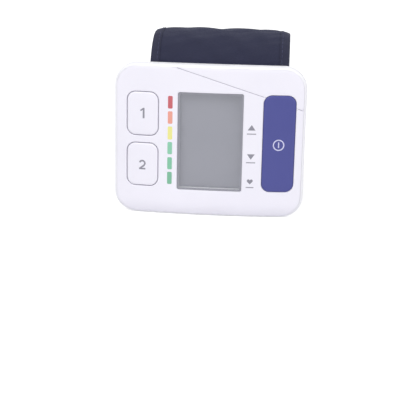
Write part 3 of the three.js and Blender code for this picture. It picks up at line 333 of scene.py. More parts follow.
def housing_levels(inset, groove):
    """Face, rounded rim, side walls with the parting groove, rounded back. The rings start and
    end at the core, a small outline well inside."""
    rim = max(EDGE_ROUND - inset, 0.4)
    levels = [(inset + CORE, inset, 1, draw) for draw in (0.05, 0.5)]
    levels += [(inset + step, inset, 1, 1) for step in (CORE, 8.0, 5.0, 3.0)]
    levels += [(inset + rim * (1 - math.sin(a)), inset + rim * (1 - math.cos(a)), 1, 1)
               for a in quarter_arc(8)]
    for depth, cut in ((STRAIGHT_DEPTH, 0), (8.5, 0), (FRONT_END - GROOVE, 0), (FRONT_END, groove),
                       (REAR_START, groove), (REAR_START + GROOVE, 0), (18.0, 0)):
        follow = 0.5 * max(1 - (depth - STRAIGHT_DEPTH) / (PARTING_DEPTH - STRAIGHT_DEPTH), 0)
        levels.append((inset + lean_at(depth) + cut, depth, follow, 1))
    round_start = UNIT_DEPTH - BACK_ROUND
    levels += [(inset + lean_at(round_start) + BACK_ROUND * (1 - math.cos(a)),
                round_start + (BACK_ROUND - inset) * math.sin(a), 0, 1) for a in quarter_arc(8)]
    return levels + [(inset + CORE, UNIT_DEPTH - inset, 0, 0.05)]


def housing_solid(name, inset, groove):
    """The housing's whole form, drawn in on every side by an inset."""
    return stack_object(name, housing_outline, HOUSING_MIDDLE, housing_levels(inset, groove))


outer_form = housing_solid("outer_form", 0.0, GROOVE)
inner_form = housing_solid("inner_form", SKIN, 0.0)
print("housing skin:", len(outer_form.data.vertices), "points")

# %% [markdown]
# ## Joining and cutting solids
# The shells are joined, hollowed and drilled as blocks are in a workshop. Blender's exact solver
# could do it too, but the manifold solver is much quicker and keeps a closed mesh closed. Each step
# is baked into the mesh at once, so that no live modifier is left on a piece.


# %% Joining, copying and merging
def combine(base, operation, other, keep=False):
    """UNION, DIFFERENCE or INTERSECT of two closed meshes, baked into the first."""
    step = base.modifiers.new("step", "BOOLEAN")
    step.operation, step.object, step.solver = operation, other, "MANIFOLD"
    bpy.context.view_layer.update()
    graph = bpy.context.evaluated_depsgraph_get()
    mesh = bpy.data.meshes.new_from_object(base.evaluated_get(graph))
    base.modifiers.clear()
    old, base.data = base.data, mesh
    bpy.data.meshes.remove(old)
    if not keep:
        bpy.data.objects.remove(other)
    return base


def clone(source, name):
    """A new object with a copy of another's mesh."""
    return placed(name, source.data.copy())


def merged_copy(node, name):
    """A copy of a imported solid's triangles with its doubled points merged."""
    mesh = nodes[node].data
    points = np.empty(len(mesh.vertices) * 3, np.float32)
    mesh.vertices.foreach_get("co", points)
    corners = np.empty(len(mesh.loops), np.int32)
    mesh.loops.foreach_get("vertex_index", corners)
    places, joined = np.unique(np.round(points.reshape(-1, 3), 8), axis=0, return_inverse=True)
    return make_object(name, places / MM, [joined.ravel()[corners].reshape(-1, 3)], sharp=180.0)


print("triangles in the packed rear cover:", len(nodes["rear_cover"].data.polygons))

# %% Cutters
FAR, BELOW, ABOVE = 60.0, -9.0, 90.0


def block(low, high):
    """A plain block between two corners (x, depth, z), used only to cut."""
    lows, highs = np.array(low, float), np.array(high, float)
    share = np.array([[i, j, k] for k in (0, 1) for j in (0, 1) for i in (0, 1)])
    points = lows + (highs - lows) * share + np.array([0, FRONT_Y, 0])
    faces = [[0, 2, 3, 1], [4, 5, 7, 6], [0, 1, 5, 4], [2, 6, 7, 3], [0, 4, 6, 2], [1, 3, 7, 5]]
    return make_object("block", points, [np.array(faces)])


def round_bar(radii, depths, x, z, sides=48):
    """A turned bar along the depth: a circle for each radius and depth."""
    angle = np.linspace(0, 2 * np.pi, sides, endpoint=False)
    rings = [np.column_stack([x + r * np.cos(angle), np.full(sides, FRONT_Y + d),
                              z + r * np.sin(angle)]) for r, d in zip(radii, depths)]
    return make_object("round_bar", *lofted(np.array(rings)))


def saddle_bar():
    """The cylinder of the cuff's front, along the width, that hollows the housing's back."""
    angle = np.linspace(0, 2 * np.pi, 360, endpoint=False)
    depth = FRONT_Y + SADDLE_AXIS + SADDLE_RADIUS * np.cos(angle)
    rise = LOOP_HALF + SADDLE_RADIUS * np.sin(angle)
    rings = [np.column_stack([np.full(360, x), depth, rise]) for x in (-FAR, FAR)]
    return make_object("saddle_bar", *lofted(np.array(rings)))


print("the saddle's axis lies", round(SADDLE_AXIS, 1), "mm behind the face")

# %% [markdown]
# ## Front cover
# The front half keeps its inner floor and posts, and its rim shows round the face panel as an even
# white border. The solid's own recess would do from afar, but its corners have flats, so the recess
# is cut again with fine corners and a small broken edge at the top of its wall.

# %% Fine shells
SHELL_CREASE = math.radians(28)
thin_skin = combine(clone(outer_form, "thin_skin"), "DIFFERENCE", inner_form)


def fine_shell(node, body, region, skin_cut=None, cuts=()):
    """A packed shell joined to its region of the fine skin, trimmed to the true form, then cut."""
    skin = combine(clone(thin_skin, "skin"), "INTERSECT", region)
    if skin_cut:
        combine(skin, "DIFFERENCE", skin_cut)
    shell = combine(merged_copy(node, node + "_fine"), "UNION", skin)
    combine(shell, "INTERSECT", outer_form, keep=True)
    for cut in cuts:
        combine(shell, "DIFFERENCE", cut)
    shell.data.shade_smooth()
    shell.data.set_sharp_from_angle(angle=SHELL_CREASE)
    fit(shell, body, "white_shell", node)
    print(shell.name, "on", body, "has", len(shell.data.polygons), "faces")


# %% Front cover
PANEL_INSET, BROKEN_EDGE = 1.1, 0.05
RECESS_FLOOR, RECESS_CORE, ABOVE_FACE = 1.5, 8.0, -6.0
recess_levels = [(RECESS_CORE, ABOVE_FACE, 1, 0.05), (RECESS_CORE, ABOVE_FACE, 1, 1),
                 (PANEL_INSET - BROKEN_EDGE, ABOVE_FACE, 1, 1),
                 (PANEL_INSET - BROKEN_EDGE, 0.2, 1, 1), (PANEL_INSET, 0.3, 1, 1)]
recess_levels += [(step, RECESS_FLOOR, 1, 1) for step in (PANEL_INSET, 2.0, 4.0, 6.0, RECESS_CORE)]
recess_levels += [(RECESS_CORE, RECESS_FLOOR, 1, draw) for draw in (0.7, 0.35, 0.02)]
recess = stack_object("recess", housing_outline, HOUSING_MIDDLE, recess_levels)
fine_shell("front_cover", "unit", block((-FAR, BELOW, BELOW), (FAR, FRONT_END, ABOVE)),
           cuts=[recess])

# %% [markdown]
# ## Rear cover and battery cover
# The rear half is hollowed by the cuff's cylinder, has four screw wells and an opening at the side
# for the cells, which a ribbed battery cover closes. The two could be shaped apart. They are cut
# from the same skin, because then they always line up.

# %% Rear cover
HATCH_FRONT, HATCH_RIGHT = 12.65, -30.7
HATCH_LOW, HATCH_HIGH, HATCH_GAP = 10.6, 52.5, 0.3
WELL_RADIUS, WELL_MOUTH, WELL_FLOOR, WELL_END = 2.05, 2.3, 17.02, 40
wells = []
for x, z in ((33.0, 6.8), (33.0, 60.7), (-31.0, 60.7), (-11.0, 6.8)):
    mouth = min(SADDLE_AXIS - math.sqrt(SADDLE_RADIUS ** 2 - (z - LOOP_HALF) ** 2), UNIT_DEPTH)
    wells.append(round_bar((WELL_RADIUS, WELL_RADIUS, WELL_MOUTH, WELL_MOUTH),
                           (WELL_FLOOR, mouth - 0.2, mouth + 0.05, WELL_END), x, z))
hatch_hole = block((-FAR, HATCH_FRONT - HATCH_GAP, HATCH_LOW - HATCH_GAP),
                   (HATCH_RIGHT + HATCH_GAP, FAR, HATCH_HIGH + HATCH_GAP))
fine_shell("rear_cover", "unit", block((-FAR, REAR_START, BELOW), (FAR, FAR, ABOVE)), hatch_hole,
           [saddle_bar()] + wells)

# %% Battery cover
fine_shell("battery_cover", "battery_door",
           block((-FAR, HATCH_FRONT, HATCH_LOW), (HATCH_RIGHT, FAR, HATCH_HIGH)), saddle_bar())
for form in (outer_form, thin_skin):
    bpy.data.objects.remove(form)

# %% [markdown]
# ## Face panel
# The inlaid panel is one thin matt moulding with four rounded openings and a fine line across its
# top. Cutting a bowed sheet would leave long thin triangles and hard edges. So rings of points
# follow every edge and a constrained triangulation fills what lies between, which lets its rim and
# each opening be rounded over.

# %% Openings and edges of the panel
START_MIDDLE, START_SIZE, KEY_RADIUS = (30.5, 33.9), (13.9, 42.8), 3.6
MEMORY_MIDDLES, MEMORY_SIZE = ((-29.2, 45.5), (-29.2, 22.8)), (13.6, 19.0)
WINDOW_MIDDLE, WINDOW_SIZE, WINDOW_RADIUS = (0.55, 33.9), (28.5, 43.4), 0.8
KEY_GAP, START_GAP, WINDOW_GAP = 0.34, 0.13, 0.05
PANEL_EDGE, PANEL_THICKNESS = 1.15, 1.2
PANEL_ROUND, ROUND_AT_RIM, LINE_DEPTH, LINE_HALF = 0.28, 0.16, 0.34, 0.26
OUTER_EDGE = (HOUSING_MIDDLE, shrunk(UNIT_SIZE, PANEL_EDGE), CORNER_RADIUS - PANEL_EDGE)
openings = [(middle, shrunk(size, -gap), radius + gap) for middle, size, radius, gap in (
    (START_MIDDLE, START_SIZE, KEY_RADIUS, START_GAP),
    (MEMORY_MIDDLES[0], MEMORY_SIZE, KEY_RADIUS, KEY_GAP),
    (MEMORY_MIDDLES[1], MEMORY_SIZE, KEY_RADIUS, KEY_GAP),
    (WINDOW_MIDDLE, WINDOW_SIZE, WINDOW_RADIUS, WINDOW_GAP))]
LINE_POINTS = np.array([[-16.2, 66.8], [-9.9, 64.9], [-3.5, 63.0], [2.9, 61.0], [9.3, 59.0],
                        [15.7, 57.0], [22.1, 55.0], [28.5, 52.9], [34.9, 50.7], [42.5, 48.1]])
print("openings in the panel:", len(openings))


# %% Panel outline rings and surface
def line_distance(flat):
    """Distance from the design line: the least over its segments of the distance to the nearest
    point of each."""
    start, run = LINE_POINTS[:-1], np.diff(LINE_POINTS, axis=0)
    to_point = flat[:, None] - start[None]
    share = np.clip((to_point * run).sum(axis=2) / (run ** 2).sum(axis=1), 0, 1)
    nearest = start + share[..., None] * run
    return np.linalg.norm(flat[:, None] - nearest, axis=2).min(axis=1)


def within_panel(flat):
    """Distance to the nearest edge of the panel, positive on its material."""
    inside = inside_rounded(flat, *OUTER_EDGE)
    for opening in openings:
        inside = np.minimum(inside, -inside_rounded(flat, *opening))
    return inside


def panel_height(flat):
    """The face, plus the housing's rim, plus the panel's own rounded edge, plus the fine line: a
    smooth trough of cosine section."""
    from_rim = np.clip(inside_rounded(flat, *OUTER_EDGE) + PANEL_EDGE, 0, EDGE_ROUND)
    rim = EDGE_ROUND - np.sqrt(EDGE_ROUND ** 2 - (EDGE_ROUND - from_rim) ** 2)
    less_round = np.where(from_rim < EDGE_ROUND, ROUND_AT_RIM, 0)
    from_edge = np.clip(within_panel(flat) + less_round, 0, PANEL_ROUND)
    edge = PANEL_ROUND - np.sqrt(PANEL_ROUND ** 2 - (PANEL_ROUND - from_edge) ** 2)
    from_line = np.clip(line_distance(flat) / LINE_HALF, 0, 1)
    trough = LINE_DEPTH * (0.5 + 0.5 * np.cos(np.pi * from_line))
    return face_drop(flat[:, 0], flat[:, 1]) + rim + edge + trough


def ring_set(middle, size, radius, outward):
    """Rings just within the panel's material along one edge, the edge itself first."""
    steps = outward * np.array([0.0, 0.06, 0.15, PANEL_ROUND, 0.6])
    return [rounded_outline(middle, shrunk(size, -grow), radius + grow, 10, 26) for grow in steps]


print("points in a ring of the panel:", len(ring_set(*OUTER_EDGE, -1.0)[0]))

# %% Panel mesh
GRID_STEP, EDGE_CLEAR, LINE_CLEAR = 1.5, 1.1, 0.8
rings = ring_set(*OUTER_EDGE, -1.0)
for opening in openings:
    rings += ring_set(*opening, 1.0)
starts = np.cumsum([0] + [len(ring) for ring in rings])
around = [np.arange(first, last) for first, last in zip(starts, starts[1:])]
ring_edges = np.concatenate([np.stack([index, np.roll(index, -1)], axis=1) for index in around])
grid_x, grid_z = np.meshgrid(np.arange(-40.2, 40.3, GRID_STEP), np.arange(2.0, 66.5, GRID_STEP))
grid = np.column_stack([grid_x.ravel(), grid_z.ravel()])
grid = grid[(within_panel(grid) > EDGE_CLEAR) & (line_distance(grid) > LINE_CLEAR)]
along = np.linspace(0, len(LINE_POINTS) - 1, 150)
on_line = np.column_stack([np.interp(along, np.arange(len(LINE_POINTS)), LINE_POINTS[:, axis])
                           for axis in (0, 1)])
across = np.gradient(on_line, axis=0)[:, ::-1] * (1, -1)
across /= np.linalg.norm(across, axis=1)[:, None]
line_rows = np.concatenate([on_line + across * step for step in
                            (0, 0.1, -0.1, LINE_HALF, -LINE_HALF, 0.5, -0.5)])
line_rows = line_rows[within_panel(line_rows) > 0.04]
flat = np.concatenate(rings + [grid, line_rows])
found = delaunay_2d_cdt(flat.tolist(), ring_edges.tolist(), [], 0, 1e-5)
flat, faces = np.array([tuple(point) for point in found[0]]), np.array(found[2])
faces = faces[within_panel(flat[faces].mean(axis=1)) > 0]
used, faces = np.unique(faces, return_inverse=True)
flat, faces = flat[used], faces.reshape(-1, 3)
edges = np.concatenate([faces[:, [0, 1]], faces[:, [1, 2]], faces[:, [2, 0]]])
key = np.sort(edges, axis=1)
where, times = np.unique(key, axis=0, return_index=True, return_counts=True)[1:]
rim = edges[where[times == 1]]
top = np.column_stack([flat[:, 0], FRONT_Y + panel_height(flat), flat[:, 1]])
under = face_drop(flat[:, 0], flat[:, 1]) + PANEL_THICKNESS
bottom = np.column_stack([flat[:, 0], FRONT_Y + under, flat[:, 1]])
walls = np.stack([rim[:, 1], rim[:, 0], rim[:, 0] + len(flat), rim[:, 1] + len(flat)], axis=1)
face_panel = make_object("face_panel_fine", np.concatenate([top, bottom]),
                         [faces, faces[:, ::-1] + len(flat), walls], sharp=50.0)
fit(face_panel, "unit", "white_shell", "face_panel", finish="panel")
print("face panel:", len(flat), "points on its face")

# %% [markdown]
# ## Buttons and window
# A button is a cap with a softly rounded rim, which stands a little proud of the panel, over a
# flange that keeps it in. A bevelled block would be quicker to make, but its top would be flat, and
# the real one follows the bow of the face. A stack of outlines does that.


# %% Button caps
KEY_TOP, KEY_ROUND, KEY_CREST, FLANGE, KEY_CORE = -0.33, 0.7, 2.4, 1.0, 1.5
SHOULDER_INSET, SHOULDER_DEPTH, RIM_START, RIM_DROP = 1.4, -0.29, -0.25, 0.55
SIDE_END, FLANGE_FRONT, FLANGE_BACK = 1.35, 1.38, 2.05


def key_cap(name, middle, size, radius, back_depth):
    """A stack of outlines: a crowned cap, a rim rounded over 0.7 mm, a straight side, a flange and
    a core down to the switch."""
    def outline(inset):
        """The key's outline drawn in, its corner radius less the inset."""
        return rounded_outline(middle, shrunk(size, inset), max(radius - inset, 0.3), 12, 18)

    levels = [(KEY_CREST, KEY_TOP, 1, draw) for draw in (0.03, 0.3, 0.6, 0.85, 1)]
    levels += [(SHOULDER_INSET, SHOULDER_DEPTH, 1, 1)]
    levels += [(KEY_ROUND * (1 - math.sin(a)), RIM_START + RIM_DROP * (1 - math.cos(a)), 1, 1)
               for a in quarter_arc(7)]
    levels += [(0, SIDE_END, 1, 1), (-FLANGE, FLANGE_FRONT, 1, 1), (-FLANGE, FLANGE_BACK, 1, 1),
               (KEY_CORE, FLANGE_BACK, 1, 1)]
    levels += [(KEY_CORE, back_depth, 0, draw) for draw in (1, 0.05)]
    return stack_object(name, outline, middle, levels, 40.0)


fit(key_cap("start_key_cap", START_MIDDLE, START_SIZE, KEY_RADIUS, 5.7),
    "start_key", "blue_button", "start_button")
for number, middle in zip(("1", "2"), MEMORY_MIDDLES):
    fit(key_cap("memory_key_cap_" + number, middle, MEMORY_SIZE, KEY_RADIUS, 5.6),
        "memory_key_" + number, "white_shell", "memory_button_" + number, finish="panel")
print("keys:", [name for name in finish_of if "key" in name])


# %% [markdown]
# ### Display window
# The window is a thin clear pane, set just below the panel. A single sheet would look the same from
# the front. A closed pane with a rounded border is made instead, because its edge catches the light
# from the side.

# %% Display window
def window_outline(inset):
    """The window's outline drawn in, its corner radius less the inset."""
    radius = max(WINDOW_RADIUS - inset, 0.2)
    return rounded_outline(WINDOW_MIDDLE, shrunk(WINDOW_SIZE, inset), radius, 8, 24)


PANE_TOP, PANE_BACK, PANE_CORE = 0.1, 1.0, 1.0
pane_levels = [(PANE_CORE, PANE_TOP, 1, draw) for draw in (0.02, 0.25, 0.5, 0.75, 1)]
pane_levels += [(0.18, PANE_TOP, 1, 1), (0.05, 0.15, 1, 1), (0, 0.28, 1, 1), (0, PANE_BACK, 1, 1)]
pane_levels += [(PANE_CORE, PANE_BACK, 1, draw) for draw in (1, 0.5, 0.02)]
display_pane = stack_object("display_pane", window_outline, WINDOW_MIDDLE, pane_levels, 40.0)
fit(display_pane, "unit", "window_clear", "display_window")
print("window:", len(display_pane.data.vertices), "points")

# %% [markdown]
# ### Mask
# A narrow grey border runs round the display, under the clear front of the pane. It could be
# painted on the pane with a second material. A thin frame at its own depth is used, because it
# shifts a little under the front as one looks round it.

# %% Mask under the clear front
MASK_INNER, MASK_OUTER, MASK_FRONT, MASK_BACK = 0.85, 0.02, 0.62, 0.68
mask_levels = [(MASK_INNER, MASK_FRONT, 1, 1), (MASK_OUTER, MASK_FRONT, 1, 1),
               (MASK_OUTER, MASK_BACK, 1, 1), (MASK_INNER, MASK_BACK, 1, 1)]
mask_points = stacked(window_outline, WINDOW_MIDDLE, mask_levels)
window_mask = make_object("window_mask", mask_points.reshape(-1, 3),
                          [grid_faces(4, mask_points.shape[1], wrap_rows=True)], sharp=40.0)
fit(window_mask, "unit", "display_glass", finish="mask")
print("mask:", len(window_mask.data.polygons), "faces")

# %% [markdown]
# ## The cuff
# The cuff is a stack of cloth layers bound at their edges. A sheet with a thickness and a
# subdivision would be a start, but each layer has its own ends and corners. So each is a strip of a
# given turn round the loop, with an outer and an inner offset. The layers close in on each other
# towards the bound edges, where a folded tape holds them, and the padded middle swells a little
# between.

# %% Cuff sizes
CLOTH_LEFT, CLOTH_RIGHT = CUFF_LEFT + 1.2, CUFF_RIGHT - 1.2
CLOTH_SPAN = (CLOTH_LEFT, CLOTH_RIGHT)
CUFF_MIDDLE = (CUFF_LEFT + CUFF_RIGHT) / 2
HALF_CLOTH = CLOTH_RIGHT - CUFF_MIDDLE
CLOTH_THICK, WRAP_OFFSET, LINING_OFFSET, FLAP_OFFSET = 0.75, 0.15, 4.5, -2.55
EDGE_DROP, LINING_DROP, CLOSING_RUN = 1.6, 1.1, 7
TUCK_DEPTH, TUCK_RUN, DOME, FLAP_SWELL = 2.0, 6, 0.75, 0.45
BASE_START, STRAP_START, STRAP_END = -206.8, 27.0, 150.0
FLAP_START, FLAP_END = 144.0, 222.0
FLAP_STOP, LIFT_START, LIFT_END = FLAP_END - 1.2, 148.0, 160.0
BASE_CORNER, STRAP_CORNER, FLAP_CORNER = 3.0, 2.0, 11.0
ROW_STEP = 0.9
print("cuff width:", round(CUFF_RIGHT - CUFF_LEFT, 1), "mm")


# %% Lengths round the loop
def lengths_along(first, second):
    """Length from the first point of a path to each of its points."""
    return np.concatenate([[0], np.cumsum(np.hypot(np.diff(first), np.diff(second)))])


def turn_rows(start, end, pitch=ROW_STEP):
    """Turn angles from start to end, close enough that rows are about a pitch apart."""
    rough = np.linspace(start, end, 400)
    length = lengths_along(*loop_point(rough, 0.0))
    count = max(int(length[-1] / pitch), 4)
    return np.interp(np.linspace(0, length[-1], count), length, rough), length[-1]


def cut_length(start, end, inward):
    """Length of a layer when laid flat: the sum of short steps along the loop at its offset."""
    depth, rise = loop_point(np.linspace(start, end, 600), inward)
    return float(np.hypot(np.diff(depth), np.diff(rise)).sum())


LOOP_TURNS = np.linspace(-220.0, 230.0, 1801)
LOOP_LENGTHS = lengths_along(*loop_point(LOOP_TURNS, 0.0))


def run_length(turn):
    """Millimetres along the loop at a turn, read from a table of small steps."""
    return np.interp(turn, LOOP_TURNS, LOOP_LENGTHS)


def turn_at(length):
    """The turn at a length along the loop: the same table, read the other way."""
    return np.interp(length, LOOP_LENGTHS, LOOP_TURNS)


print("strap length:", round(turn_rows(STRAP_START, STRAP_END)[1], 1), "mm")


# %% Corners and places of a strip
def corner_cut(beyond, radius, per_degree=0.72):
    """How far a rounded corner cuts in, at so many degrees of turn from the end: the gap between
    a quarter circle and its square."""
    away = np.clip(radius - beyond * per_degree, 0, radius)
    return radius - np.sqrt(np.maximum(radius ** 2 - away ** 2, 0.04 * radius ** 2))


def laid(turn, x, inward):
    """Points in space from turn, place across and offset inward, as arrays of one shape."""
    depth, rise = loop_point(turn, inward)
    return np.stack([x + 0 * depth, FRONT_Y + depth, rise], axis=-1)


print("the flap's corners cut in", round(float(corner_cut(0.0, FLAP_CORNER)), 1), "mm at its end")


# %% Strips round the loop
def strip(name, start, end, outer, inner, span=CLOTH_SPAN, columns=60, round_over=0.3,
          settled=None, corners=(0.0, 0.0)):
    """A closed layer: an outer grid and an inner grid of the same turn and place across, joined
    round their borders by a half round of the layer's thickness. What a settled cloth adds is a
    shift along the normal, read between its grid points. Towards an end with rounded corners the
    rows narrow along a quarter circle."""
    turns, length = turn_rows(start, end)
    place = np.linspace(*span, columns)
    turn, x = np.meshgrid(turns, place, indexing="ij")
    middle_x, half_x = (span[0] + span[1]) / 2, (span[1] - span[0]) / 2
    narrow = corner_cut(turns - turns[0], corners[0]) + corner_cut(turns[-1] - turns, corners[1])
    reach = half_x - narrow[:, None]
    x = middle_x + (x - middle_x) * reach / half_x
    border = np.minimum(reach - np.abs(x - middle_x),
                        np.minimum(turns - turns[0], turns[-1] - turns)[:, None] * 0.6)
    ease = np.sqrt(np.clip(1 - (1 - np.clip(border / round_over, 0, 1)) ** 2, 0, 1))
    high, low = outer(turn, x), inner(turn, x)
    middle, half = (high + low) / 2, (low - high) / 2 * (0.25 + 0.75 * ease)
    if settled is not None:
        middle = middle + between_points(settled, turns, place)
    points = np.concatenate([laid(turn, x, middle - half), laid(turn, x, middle + half)])
    rows = len(turns)
    sheet_faces = grid_faces(rows, columns, wrap_columns=False)
    index = np.arange(rows * columns).reshape(rows, columns)
    rim = np.concatenate([index[0, :-1], index[:-1, -1], index[-1, :0:-1], index[:0:-1, 0]])
    after, under = np.roll(rim, -1), rows * columns
    walls = np.stack([after, rim, rim + under, after + under], axis=1)
    along = np.interp(turn, turns, np.linspace(0, length, rows))
    uv = np.column_stack([x.ravel(), along.ravel()]) * MM
    return make_object(name, points.reshape(-1, 3),
                       [sheet_faces, sheet_faces[:, ::-1] + under, walls], 60.0,
                       np.concatenate([uv, uv]))


print("rows of points in the base:", len(turn_rows(BASE_START, STRAP_START)[0]))

# %% Waves, gathers and creases
CREASES = np.random.default_rng(11).uniform((0, -0.16, 0.18, 1.0), (1, 0.16, 0.5, 2.3), (34, 4))
CREASES[:, 0] = (np.arange(34) + 0.7 * CREASES[:, 0]) / 34 * LOOP_LENGTHS[-1]


def edge_share(x):
    """Nought along the cuff's middle, one at the cloth's edges."""
    return np.abs(x - CUFF_MIDDLE) / HALF_CLOTH


def cloth_ripple(turn, x, amount):
    """Slow swells of a few millimetres' length across and along, from sums of sines."""
    return amount * (np.sin(turn * 0.21 + x * 0.12) * np.sin(x * 0.23 - turn * 0.05)
                     + 0.5 * np.sin(turn * 0.47 - x * 0.31))


def seam_pucker(turn, x, amount):
    """Small gathers where the tape holds the cloth: a wave along the edge that dies away inwards,
    its length drifting between five and eight millimetres."""
    away = HALF_CLOTH - np.abs(x - CUFF_MIDDLE)
    along = run_length(turn) + 1.6 * np.sin(run_length(turn) / 11 + np.sign(x - CUFF_MIDDLE))
    near = np.exp(-np.square((away - 5.0) / 3.4))
    return amount * near * np.sin(along * 0.98 + 0.25 * away)


def crease_depth(turn, x):
    """Soft creases across the wrist side, where the bend pushes the cloth together: each is a bell
    curve over the distance from its own slanting, gently waving line."""
    place, slant, deep, wide = CREASES.T
    line = place + slant * (x[..., None] - CUFF_MIDDLE) + 0.9 * np.sin(x[..., None] / 8 + place)
    bell = np.exp(-np.square((run_length(turn)[..., None] - line) / wide))
    return (deep * bell).sum(axis=-1)


def closing(turn, x):
    """Nought in the middle, one where the layers close on each other: at the bound edges and, over
    a few millimetres, at the free end of the base."""
    edge = edge_share(x) ** 6
    from_end = run_length(turn) - run_length(BASE_START)
    end = np.clip(1 - from_end / CLOSING_RUN, 0, 1) ** 3
    return 1 - (1 - edge) * (1 - end)


def tucked(turn):
    """One at the strap's end, where its lining turns up to the flap, and nought a little before."""
    short = run_length(STRAP_END) - run_length(turn)
    return np.where(short >= 0, np.clip(1 - short / TUCK_RUN, 0, 1) ** 2, 0)


print("creases on the wrist side:", len(CREASES))


# %% Surfaces of the layers
def wrap_outer(turn, x):
    """The cuff's outside: an offset, a drop where the layers close, slow swells and gathers."""
    waves = cloth_ripple(turn, x, 0.09)
    return EDGE_DROP * closing(turn, x) + waves + seam_pucker(turn, x, 0.1) + WRAP_OFFSET


def wrap_inner(turn, x):
    """The wrap's outside plus the cloth's thickness."""
    return wrap_outer(turn, x) + CLOTH_THICK


def lining_inner(turn, x):
    """The wrist side swells by a shallow dome across, less its creases and the gathers at its
    edges."""
    shut = closing(turn, x)
    dome = DOME * np.clip(1 - edge_share(x) ** 2, 0, 1) ** 0.8
    fade = 1 - edge_share(x) ** 4
    folds = crease_depth(turn + 0 * x, x + 0 * turn) * fade + seam_pucker(turn, x, 0.12)
    swell = TUCK_DEPTH * tucked(turn) - dome + folds
    return LINING_OFFSET - LINING_DROP * shut - swell * (1 - shut)


def lining_outer(turn, x):
    """The wrist side less the cloth's thickness."""
    return lining_inner(turn, x) - CLOTH_THICK


def flap_lift(turn):
    """How far the flap has come out over the base: nought where it starts to lift, then one."""
    share = np.clip((turn - LIFT_START) / (LIFT_END - LIFT_START), 0, 1)
    return share * share * (3 - 2 * share)


def flap_outer(turn, x):
    """From the strap's own surface out over the base's end, with its near edge dying away."""
    own = wrap_outer(turn, x)
    return own + (FLAP_OFFSET + cloth_ripple(turn, x, 0.1) - own) * flap_lift(turn)


def flap_inner(turn, x):
    """The flap's outside plus the cloth's thickness and a swell that comes as it lifts."""
    return flap_outer(turn, x) + CLOTH_THICK + FLAP_SWELL * flap_lift(turn)


def level(offset):
    """A surface at one offset all along."""
    return lambda turn, x: offset + 0 * x


print("outer surface at the top:", round(float(wrap_outer(90.0, CUFF_MIDDLE)), 2), "mm inwards")

# %% [markdown]
# ### Letting the cloth settle
# Formulas give the cuff its swell, and a short cloth simulation gives it the uneven slack of real
# fabric. A layer is held where the tape grips it and grows by a few hundredths, so it has to
# buckle. It runs at ten times the size, where the solver is at its best, and only the shift along
# the normal is kept, within a cap, so that layers never pass through each other.


# %% Reading a coarse grid of shifts
def between_points(settled, turns, place):
    """Values between grid points: straight runs along one axis, then the other, then a blur."""
    grid_turns, grid_place, shift = settled
    lines = np.array([np.interp(place, grid_place, line) for line in shift])
    value = np.array([np.interp(turns, grid_turns, line) for line in lines.T]).T
    for axis in (0, 1):
        value[1:-1, 1:-1] = (0.5 * value + 0.25 * np.roll(value, 1, axis)
                             + 0.25 * np.roll(value, -1, axis))[1:-1, 1:-1]
    return value


knots = np.arange(4.0)
level_shift = between_points((knots, knots, np.ones((4, 4))), knots + 0.5, knots + 0.5)
print("a shift of 1 all over is read as", level_shift.min(), "to", level_shift.max())

# %% Cloth simulation
SIMULATION_SCALE, SETTLE_FRAMES, SETTLE_STEP, SETTLE_COLUMNS = 10.0, 22, 1.7, 37
HELD_TURN, HELD_WIDTH = 3.0, 3.6


def settle(name, start, end, outer, inner, growth, cap):
    """Simulates one layer's mid-surface with Blender's cloth and returns its shift along the
    normal in millimetres, on a coarse grid of turn and place across."""
    turns = turn_rows(start, end, SETTLE_STEP)[0]
    place = np.linspace(*CLOTH_SPAN, SETTLE_COLUMNS)
    turn, x = np.meshgrid(turns, place, indexing="ij")
    inward = (outer(turn, x) + inner(turn, x)) / 2
    rest = laid(turn, x, inward)
    normal = laid(turn, x, inward + 1.0) - rest
    mesh = bpy.data.meshes.new(name)
    scaled = rest.reshape(-1, 3) * MM * SIMULATION_SCALE
    faces = grid_faces(len(turns), len(place), wrap_columns=False)
    mesh.from_pydata(scaled.tolist(), [], faces.tolist())
    layer = placed(name, mesh)
    ends = np.minimum(turns - turns[0], turns[-1] - turns)[:, None] < HELD_TURN
    grip = ends | (np.minimum(x - CLOTH_LEFT, CLOTH_RIGHT - x) < HELD_WIDTH)
    group = layer.vertex_groups.new(name="held")
    group.add(np.flatnonzero(grip.ravel()).tolist(), 1.0, "REPLACE")
    cloth_step = layer.modifiers.new("cloth", "CLOTH")
    rules = cloth_step.settings
    rules.quality, rules.mass, rules.air_damping = 8, 0.15, 2.0
    rules.tension_stiffness = rules.compression_stiffness = 12.0
    rules.shear_stiffness, rules.bending_stiffness = 6.0, 0.35
    rules.vertex_group_mass = "held"
    rules.shrink_min = rules.shrink_max = -growth
    rules.effector_weights.gravity = 0.0
    cloth_step.point_cache.frame_start, cloth_step.point_cache.frame_end = 1, SETTLE_FRAMES
    for frame_number in range(1, SETTLE_FRAMES + 1):
        bpy.context.scene.frame_set(frame_number)
    result = layer.evaluated_get(bpy.context.evaluated_depsgraph_get()).to_mesh()
    moved = np.empty(len(result.vertices) * 3, np.float32)
    result.vertices.foreach_get("co", moved)
    moved = moved.reshape(rest.shape) / (MM * SIMULATION_SCALE) - rest
    shift = (moved * normal).sum(axis=-1)
    bpy.data.objects.remove(layer)
    bpy.context.scene.frame_set(1)
    shift = cap * np.tanh(shift / cap)
    print(name, "settled by up to", round(float(np.abs(shift).max()), 2), "mm")
    return turns, place, shift


print("rows of the base's cloth:", len(turn_rows(BASE_START, STRAP_START, SETTLE_STEP)[0]))
